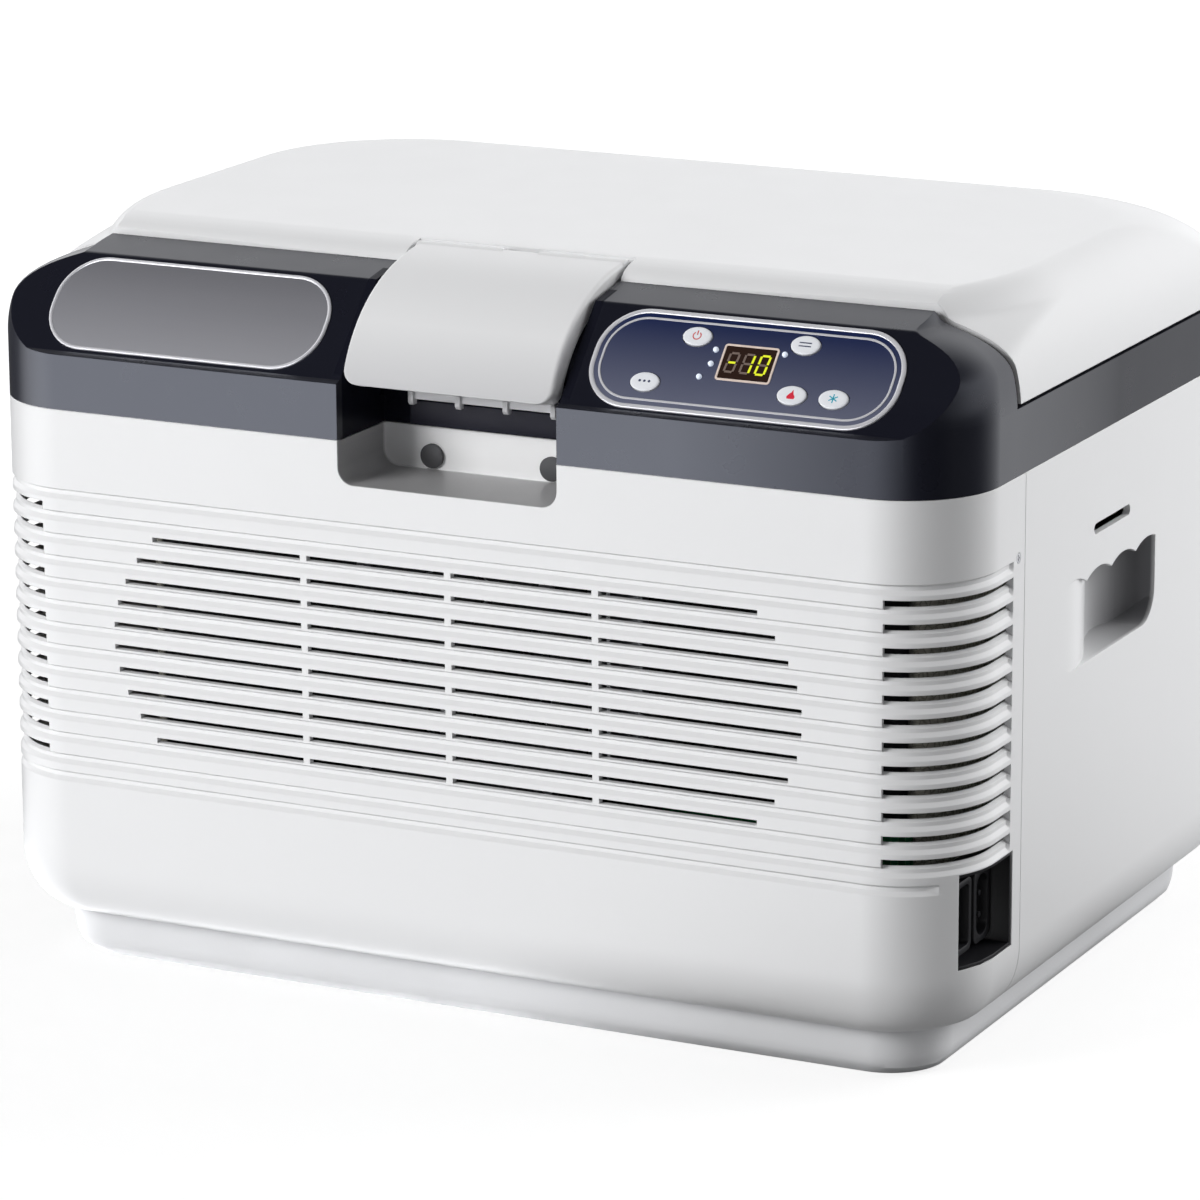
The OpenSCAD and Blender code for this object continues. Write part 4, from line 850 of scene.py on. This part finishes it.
def bar(x0, y0, x1, y1, width):
    """Flat bar between two points."""
    d = Vector((x1 - x0, y1 - y0)).normalized() * width / 2
    return [(x0 - d.y, y0 + d.x), (x0 + d.y, y0 - d.x), (x1 + d.y, y1 - d.x), (x1 - d.y, y1 + d.x)]


def arc_band(r, width, a0, a1, n=20):
    outer = [(r * math.cos(math.radians(a0 + (a1 - a0) * k / n)),
              r * math.sin(math.radians(a0 + (a1 - a0) * k / n)))
             for k in range(n + 1)]
    inner = [(x * (r - width) / r, y * (r - width) / r) for x, y in reversed(outer)]
    return outer + inner


MARKS = {
    "power_button": [arc_band(1.9, 0.5, 125, 415), bar(0, 0.3, 0, 2.3, 0.5)],
    "set_button": [bar(-2.6, 0.75, 2.6, 0.75, 0.5), bar(-2.6, -0.75, 2.6, -0.75, 0.5)],
    "aux_button": [oval(0.55, 0.55, 20, (x, 0.0)) for x in (-2.0, 0.0, 2.0)],
    "heat_button": [[(-1.5, -1.9), (1.5, -1.9), (1.75, -0.9), (0.9, 0.3), (0.35, 2.3), (-0.2, 0.9),
                     (-0.8, 0.5), (-1.75, -0.9)]],
    "cool_button": [bar(-2 * math.cos(a), -2 * math.sin(a), 2 * math.cos(a), 2 * math.sin(a), 0.5)
                    for a in (math.radians(30), math.radians(90), math.radians(150))],
}
for k in KEYS:
    marks = join([turned_to_slope(prism(shape, "z", 1.3, 1.53), *key_at[k]) for shape in MARKS[k]])
    ink = surface("ink_" + k, INK[k], 0.5, grain=(2000.0, 0.05), mottle=0.06)
    piece(marks, "vis_mark_" + k, None, "key_plastic", BODY_OF[k], material=ink)

window = skin(stadium_rows(11.2, 7.7, 0.8, [(-1, 0), (PLATE + 0.1, 0), (PLATE + 0.2, 0.15)], 6))
piece(turned_to_slope(window, DISPLAY_X, DISPLAY_S), "vis_display_window", ["display_window"], sharp=30)
trim = surface("display_trim", (0.82, 0.68, 0.6), 0.4, grain=(1500.0, 0.05), mottle=0.04)
frame_ring = band_ring(11.7, 8.2, 1.4, 0.9, [(PLATE - 0.2, 0), (PLATE + 0.25, 0), (PLATE + 0.35, 0.15)], 6)
piece(turned_to_slope(frame_ring, DISPLAY_X, DISPLAY_S), "vis_display_trim", None, "window_plastic",
      "cabinet", material=trim)

SEGMENTS = {"a": (-1.6, 4.2, 1.6, 4.2), "b": (1.9, 0.4, 1.9, 3.9), "c": (1.9, -3.9, 1.9, -0.4),
            "d": (-1.6, -4.2, 1.6, -4.2),
            "e": (-1.9, -3.9, -1.9, -0.4), "f": (-1.9, 0.4, -1.9, 3.9), "g": (-1.5, 0, 1.5, 0)}
LIT = {-6.6: "g", 0.0: "bc", 6.6: "abcdef"}
lit = surface("segment_lit", (0.5, 0.55, 0.02), 0.4, grain=(1500.0, 0.03), glow=(0.75, 0.8, 0.03, 0.55))
dim = surface("segment_dim", (0.2, 0.15, 0.13), 0.5, grain=(1500.0, 0.03))
for label, mat in (("lit", lit), ("dim", dim)):
    bars = []
    for x, on in LIT.items():
        for seg, (x0, y0, x1, y1) in SEGMENTS.items():
            if (seg in on) == (label == "lit"):
                shape = [(px + py * 0.09 + x, py) for px, py in bar(x0, y0, x1, y1, 0.9)]
                bars.append(turned_to_slope(prism(shape, "z", PLATE, PLATE + 0.27), DISPLAY_X, DISPLAY_S))
    piece(join(bars), "vis_digits_" + label, None, "window_plastic", "cabinet", material=mat)


# ---- Lid ----

def curve(p0, p1, p2, p3, n=12):
    pts = []
    for k in range(n + 1):
        t = k / n
        pts.append(tuple((1 - t) ** 3 * a + 3 * (1 - t) ** 2 * t * b + 3 * (1 - t) * t * t * c + t ** 3 * d
                         for a, b, c, d in zip(p0, p1, p2, p3)))
    return pts


SET_BACK = 3.2                           # the lid's corners start this far behind its middle
lid_curve = curve((LID_FRONT, LID_Z + 33.5), (LID_FRONT + 0.3, LID_Z + 38.6), (LID_FRONT + 6, LID_Z + 41.6),
                  (LID_FRONT + 19, TOP + 0.05))
lid_side = [(LID_FRONT, LID_Z + 1.4)] + lid_curve + [(LID_FRONT + 22, TOP + 9), (HD + 9, TOP + 9),
                                                     (HD + 9, LID_Z + 1.4)]



def lid_dome(g, steps=36):
    """The lid's own surface: flat top, tight shoulders, wide corners at the front."""
    rows = [(LID_Z - 12, HW + g, HD + g, CORNER + g, 0, CORNER + g)]
    for k in range(steps + 1):
        t = math.radians(90 * k / steps)
        inward = 1 - math.cos(t) ** (2 / FULLNESS) if k < steps else 1.0
        back = HD + g - LID_BACK_RUN * inward
        rows.append((LID_Z + (TOP - LID_Z + g) * math.sin(t) ** (2 / FULLNESS), HW + g - LID_RUN * inward,
                     (back + HD + g) / 2, CORNER + g + 32 * inward, (back - HD - g) / 2,
                     min(CORNER + g + FRONT_GROWTH * inward, FRONT_LIMIT + g)))
    return loft(rows)


lid = lid_dome(0)
hollow = [(LID_FRONT + SET_BACK + WALL, LID_Z - 1), (LID_FRONT + SET_BACK + WALL, LID_Z + 32),
          (LID_FRONT + 11, LID_Z + 36.5),
          (LID_FRONT + 18, TOP + 5), (HD + 5, TOP + 5), (HD + 5, LID_Z - 1)]
lid = common(lid, prism(lid_side, "x", -HW - 1, HW + 1))
for side in (-1, 1):
    slant = [(side * 57, LID_FRONT - 2), (side * 57, LID_FRONT + 0.02),
             (side * (HW + 5), LID_FRONT + SET_BACK),
             (side * (HW + 5), LID_FRONT - 2)]
    lid = cut(lid, prism(slant, "z", LID_Z - 1, TOP + 5))
lid = cut(lid, common(lid_dome(-WALL), prism(hollow, "x", -HW, HW)))
latch_block = prism([(LID_FRONT + 0.02, LID_Z + 31)] + lid_curve[:9] +
                    [(LID_FRONT + 17.6, TOP - 0.3), (LID_FRONT + 17.6, LID_Z + 31)],
                    "x", -NOTCH_HALF - 8, NOTCH_HALF + 8)
lid = add(lid, latch_block)
for s in (-1, 1):
    root = common(block((s * 120 - 14, HD - 12, LID_Z + 0.6), (s * 120 + 14, HD - 0.5, LID_Z + 16)),
                  lid_dome(-0.5))
    lid = add(lid, root)
lid = cut(lid, block((-NOTCH_HALF, LID_FRONT - 3, LID_Z + 33.5), (NOTCH_HALF, LID_FRONT + 15.1, TOP + 5)))
lid = cut(lid, rod("x", -NOTCH_HALF - 6, NOTCH_HALF + 6, LATCH_AXIS, 1.55, 24))
for s in (-1, 1):
    for dx in (-7, 7):
        lid = cut(lid, rod("y", HD - 8, HD + 1, (s * 120 + dx, LID_Z + 10), 1.55, 24))
posts = [rod("z", LID_Z + 4.2, LID_Z + 24, (sx * 170, y), 4, 24) for sx in (-1, 1) for y in (110, 10, -80)]
lid = add(lid, *[common(p, lid_dome(-1.5)) for p in posts])
piece(lid, "vis_lid_outer", ["lid_outer"], sharp=28)


# ---- Latch flap ----

FLAP = [(-HD - 0.2, LID_Z - 3.5), (-HD + 6, LID_Z + 17), (-HD + 25, LID_Z + 38),
        (LATCH_AXIS[0], LATCH_AXIS[1] + 3.3)]


def flap_at(t):
    return [(1 - t) ** 3 * a + 3 * (1 - t) ** 2 * t * b + 3 * (1 - t) * t * t * c + t ** 3 * d for a, b, c,
            d in zip(*FLAP)]


def flap_in(t):
    """Unit vector into the flap at t."""
    a, b = flap_at(t - 0.005), flap_at(t + 0.005)
    v = Vector((b[0] - a[0], b[1] - a[1])).normalized()
    return v.y, -v.x


def flap_section(t, w, depth, r=1.8, m=6):
    right = [(w, depth)] + [(w - r + r * math.cos(math.radians(a)), r - r * math.sin(math.radians(a)))
                            for a in [90 * k / m for k in range(m + 1)]]
    pts = right + [(-x, d) for x, d in reversed(right)]
    pts += [(2.5 - w, depth), (2.5 - w, 2.8), (w - 2.5, 2.8), (w - 2.5, depth)]
    p, q = flap_at(t), flap_in(t)
    return [(x, p[0] + d * q[0], p[1] + d * q[1]) for x, d in pts]


steps = [0, 0.004, 0.009, 0.016, 0.025, 0.037, 0.05, 0.065, 0.08, 0.1,
         0.12] + [0.12 + 0.88 * k / 32 for k in range(1, 33)]
rings, run, last = [], 0.0, flap_at(0)
for t in steps:
    here = flap_at(t)
    run += math.dist(here, last)
    last = here
    inset = 6.5 - math.sqrt(max(6.5 ** 2 - max(6.5 - run, 0) ** 2, 0))
    depth = 8 if t < 0.8 else 8 - 4.8 * (t - 0.8) / 0.2
    if run < 0.9:
        depth = 5.2
    rings.append(flap_section(t, 47 - inset, depth))
flap = skin(rings)
lip_in, lip_out = flap_in(0.0), flap_in(0.045)
lip = [flap_at(0.002), flap_at(0.045)]
lip += [(lip[1][0] + 5 * lip_out[0], lip[1][1] + 5 * lip_out[1]),
        (lip[0][0] + 5 * lip_in[0], lip[0][1] + 5 * lip_in[1])]
shrink = [(p[0] + 0.3 * lip_in[0], p[1] + 0.3 * lip_in[1]) for p in lip[:2]] + lip[2:]
flap = add(flap, prism(shrink, "x", -40.2, 40.2))
for s in (-1, 1):
    flap = add(flap, rod("x", *sorted((s * 8, s * 46.9)), LATCH_AXIS, 3.85, 40))
flap = cut(flap, rod("x", -60, 60, LATCH_AXIS, 1.55, 24))
flap = cut(flap, rod("x", -7.8, 7.8, LATCH_AXIS, 3.12, 32))
below = block((-7.8, LATCH_AXIS[0] - 6, LATCH_AXIS[1] - 8), (7.8, LATCH_AXIS[0] + 6, LATCH_AXIS[1]))
flap = cut(flap, common(rod("x", -7.8, 7.8, LATCH_AXIS, 4.6, 32), below))
flap_white = surface("flap_plastic", tone=flap_painted_shade, **WHITE)
piece(flap, "vis_latch_flap", ["latch_flap"], sharp=35, material=flap_white)


# ---- CAD pieces that stay: finish, softened edges ----

SOFT = {"latch_hook": 0.3, "latch_keeper": 0.4, "recess_plugs": 0.5, "lid_hinge_arms": 0.6,
        "hinge_brackets": 0.5,
        "hinge_pins": 0.2, "rubber_feet": 0.4, "inner_liner": 0.6, "lid_inner": 0.5, "lid_seal": 0.4,
        "dc_socket": 0.25,
        "ac_inlet": 0.25, "socket_housing": 0.4, "cold_duct_cover": 0.4, "indicator_leds": 0.1,
        "seam_screws": 0.1,
        "temperature_probe": 0.2, "hot_fan_frame": 0.3, "cold_fan_frame": 0.3}
for name, obj in nodes.items():
    if obj.hide_render:
        continue
    slot = SLOT_OF[name]
    obj.data.materials.clear()
    obj.data.materials.append(MATERIALS[slot])
    obj.data.polygons.foreach_set("use_smooth", [True] * len(obj.data.polygons))
    weld = obj.modifiers.new("weld", "WELD")
    weld.merge_threshold = 2e-6
    if name in SOFT:
        soft = obj.modifiers.new("edge", "BEVEL")
        soft.width = SOFT[name] * MM
        soft.segments = 2
        soft.limit_method = "ANGLE"
        soft.angle_limit = math.radians(40)
    split = obj.modifiers.new("split", "EDGE_SPLIT")
    split.split_angle = math.radians(38)
    split.use_edge_sharp = False


# ---- Stage: floor, light and camera ----

def card(tree, angle, centre, inner, outer, strength):
    """A bright reflector as seen in a glossy surface: full inside one half angle, gone past another."""
    off = maths(tree, "ABSOLUTE", maths(tree, "SUBTRACT", angle, math.radians(centre)))
    return times(tree, spread(tree, off, math.radians(inner), math.radians(outer), 1.0, 0.0), strength)


def azimuth_of(tree, vector):
    """Angle round the object: 0 in front of it, 90 degrees to its right."""
    xyz = node(tree, "ShaderNodeSeparateXYZ", None, {0: vector})
    return maths(tree, "ARCTAN2", xyz.outputs[0], times(tree, xyz.outputs[1], -1.0)), xyz.outputs[2]


def floor_finish():
    """Pale paper, near white to the camera; glossy parts see reflectors on it in front and behind."""
    mat = surface("floor_paper", (0.27, 0.27, 0.27), 0.9, grain=(300.0, 0.02), mottle=0.004)
    tree = mat.node_tree
    out = next(n for n in tree.nodes if n.type == "OUTPUT_MATERIAL")
    paper = out.inputs[0].links[0].from_socket
    rays = node(tree, "ShaderNodeLightPath")
    place = node(tree, "ShaderNodeNewGeometry").outputs["Position"]
    far = node(tree, "ShaderNodeVectorMath", {"operation": "LENGTH"}, {0: place}).outputs["Value"]
    white = node(tree, "ShaderNodeEmission", None, {0: (1, 1, 1, 1),
                                                    1: spread(tree, far, 0.35, 1.6, 0.78, 1.05)})
    seen = node(tree, "ShaderNodeAddShader", None, {0: paper, 1: white.outputs[0]})
    angle, _ = azimuth_of(tree, place)
    level = maths(tree, "ADD", card(tree, angle, -26, 26, 62, CARD_FRONT),
                  card(tree, angle, 150, 8, 44, CARD_BACK))
    cards = node(tree, "ShaderNodeEmission", None, {0: (0.97, 0.98, 1.0, 1),
                                                    1: maths(tree, "ADD", level, CARD_BASE)})
    glossy = node(tree, "ShaderNodeMixShader", None, {0: rays.outputs["Is Glossy Ray"], 1: paper,
                                                      2: cards.outputs[0]})
    full = node(tree, "ShaderNodeMixShader", None, {0: rays.outputs["Is Camera Ray"], 1: glossy.outputs[0],
                                                    2: seen.outputs[0]})
    tree.links.new(full.outputs[0], out.inputs[0])
    return mat


def stage_floor():
    mesh = bpy.data.meshes.new("floor")
    mesh.from_pydata([(-9, -9, -0.0002), (9, -9, -0.0002), (9, 9, -0.0002), (-9, 9, -0.0002)], [],
                     [(0, 1, 2, 3)])
    floor = bpy.data.objects.new("floor", mesh)
    scene.collection.objects.link(floor)
    mesh.materials.append(floor_finish())


def softbox(name, direction, distance, size, strength, colour=(1, 1, 1)):
    """Area light; strength 1 makes a white surface that faces it white."""
    light = bpy.data.lights.new(name, "AREA")
    light.shape = "RECTANGLE"
    light.size, light.size_y = size
    light.energy = strength * (math.pi * distance) ** 2
    light.color = colour
    obj = bpy.data.objects.new(name, light)
    obj.visible_glossy = False
    scene.collection.objects.link(obj)
    aim = Vector(direction).normalized()
    obj.location = Vector((0, 0, 0.15)) + aim * distance
    obj.rotation_euler = (-aim).to_track_quat("-Z", "Y").to_euler()
    return obj


CARD_FRONT, CARD_BACK, CARD_BASE = 5.6, 1.2, 0.1
stage_floor()
softbox("key", (-0.5, -0.8, 0.38), 3.0, (1.5, 1.2), 0.77)
softbox("side", (0.66, 0.58, 0.36), 3.0, (2.0, 1.7), 0.86)
softbox("top", (0.1, 0.2, 1.0), 3.0, (2.0, 2.0), 0.11)
world = bpy.data.worlds.new("studio")
world.use_nodes = True
tree = world.node_tree
tree.nodes.clear()
rays = node(tree, "ShaderNodeLightPath")
direction = node(tree, "ShaderNodeTexCoord").outputs["Generated"]
angle, rise = azimuth_of(tree, direction)
behind = gate(tree, node(tree, "ShaderNodeSeparateXYZ", None, {0: direction}).outputs[1], -0.2, 0.25)
sky = times(tree, behind, spread(tree, rise, 0.5, 0.75, 1.35, 0.0))
ahead = times(tree, maths(tree, "SUBTRACT", 1.0, behind), spread(tree, rise, 0.1, 0.4, 0.5, 0.0))
sky = maths(tree, "ADD", maths(tree, "ADD", sky, ahead), 0.05)
level = node(tree, "ShaderNodeMix", {"data_type": "FLOAT"},
             {0: rays.outputs["Is Glossy Ray"], 2: 0.2, 3: sky}).outputs[0]
level = node(tree, "ShaderNodeMix", {"data_type": "FLOAT"},
             {0: rays.outputs["Is Camera Ray"], 2: level, 3: 1.0}).outputs[0]
air = node(tree, "ShaderNodeBackground", None, {0: (0.98, 0.985, 1.0, 1.0), 1: level})
sky_out = node(tree, "ShaderNodeOutputWorld")
tree.links.new(air.outputs[0], sky_out.inputs[0])
scene.world = world
scene.view_settings.view_transform = "Standard"

AZIMUTH, ELEVATION, ROLL = math.radians(26.42), math.radians(14.73), math.radians(-0.28)
DISTANCE = 2.4509
TARGET = Vector((-0.0142, 0.0, 0.1389))
back = Vector((math.sin(AZIMUTH) * math.cos(ELEVATION), -math.cos(AZIMUTH) * math.cos(ELEVATION),
               math.sin(ELEVATION)))
right = Vector((math.cos(AZIMUTH), math.sin(AZIMUTH), 0.0))
up = back.cross(right)
cam_x = math.cos(ROLL) * right + math.sin(ROLL) * up
cam_y = -math.sin(ROLL) * right + math.cos(ROLL) * up
camera = bpy.data.cameras.new("camera")
camera.lens = 172.8
camera.sensor_width = 36.0
cam = bpy.data.objects.new("camera", camera)
scene.collection.objects.link(cam)
cam.matrix_world = Matrix((
    (cam_x.x, cam_y.x, back.x, TARGET.x + back.x * DISTANCE),
    (cam_x.y, cam_y.y, back.y, TARGET.y + back.y * DISTANCE),
    (cam_x.z, cam_y.z, back.z, TARGET.z + back.z * DISTANCE),
    (0, 0, 0, 1)))
scene.camera = cam
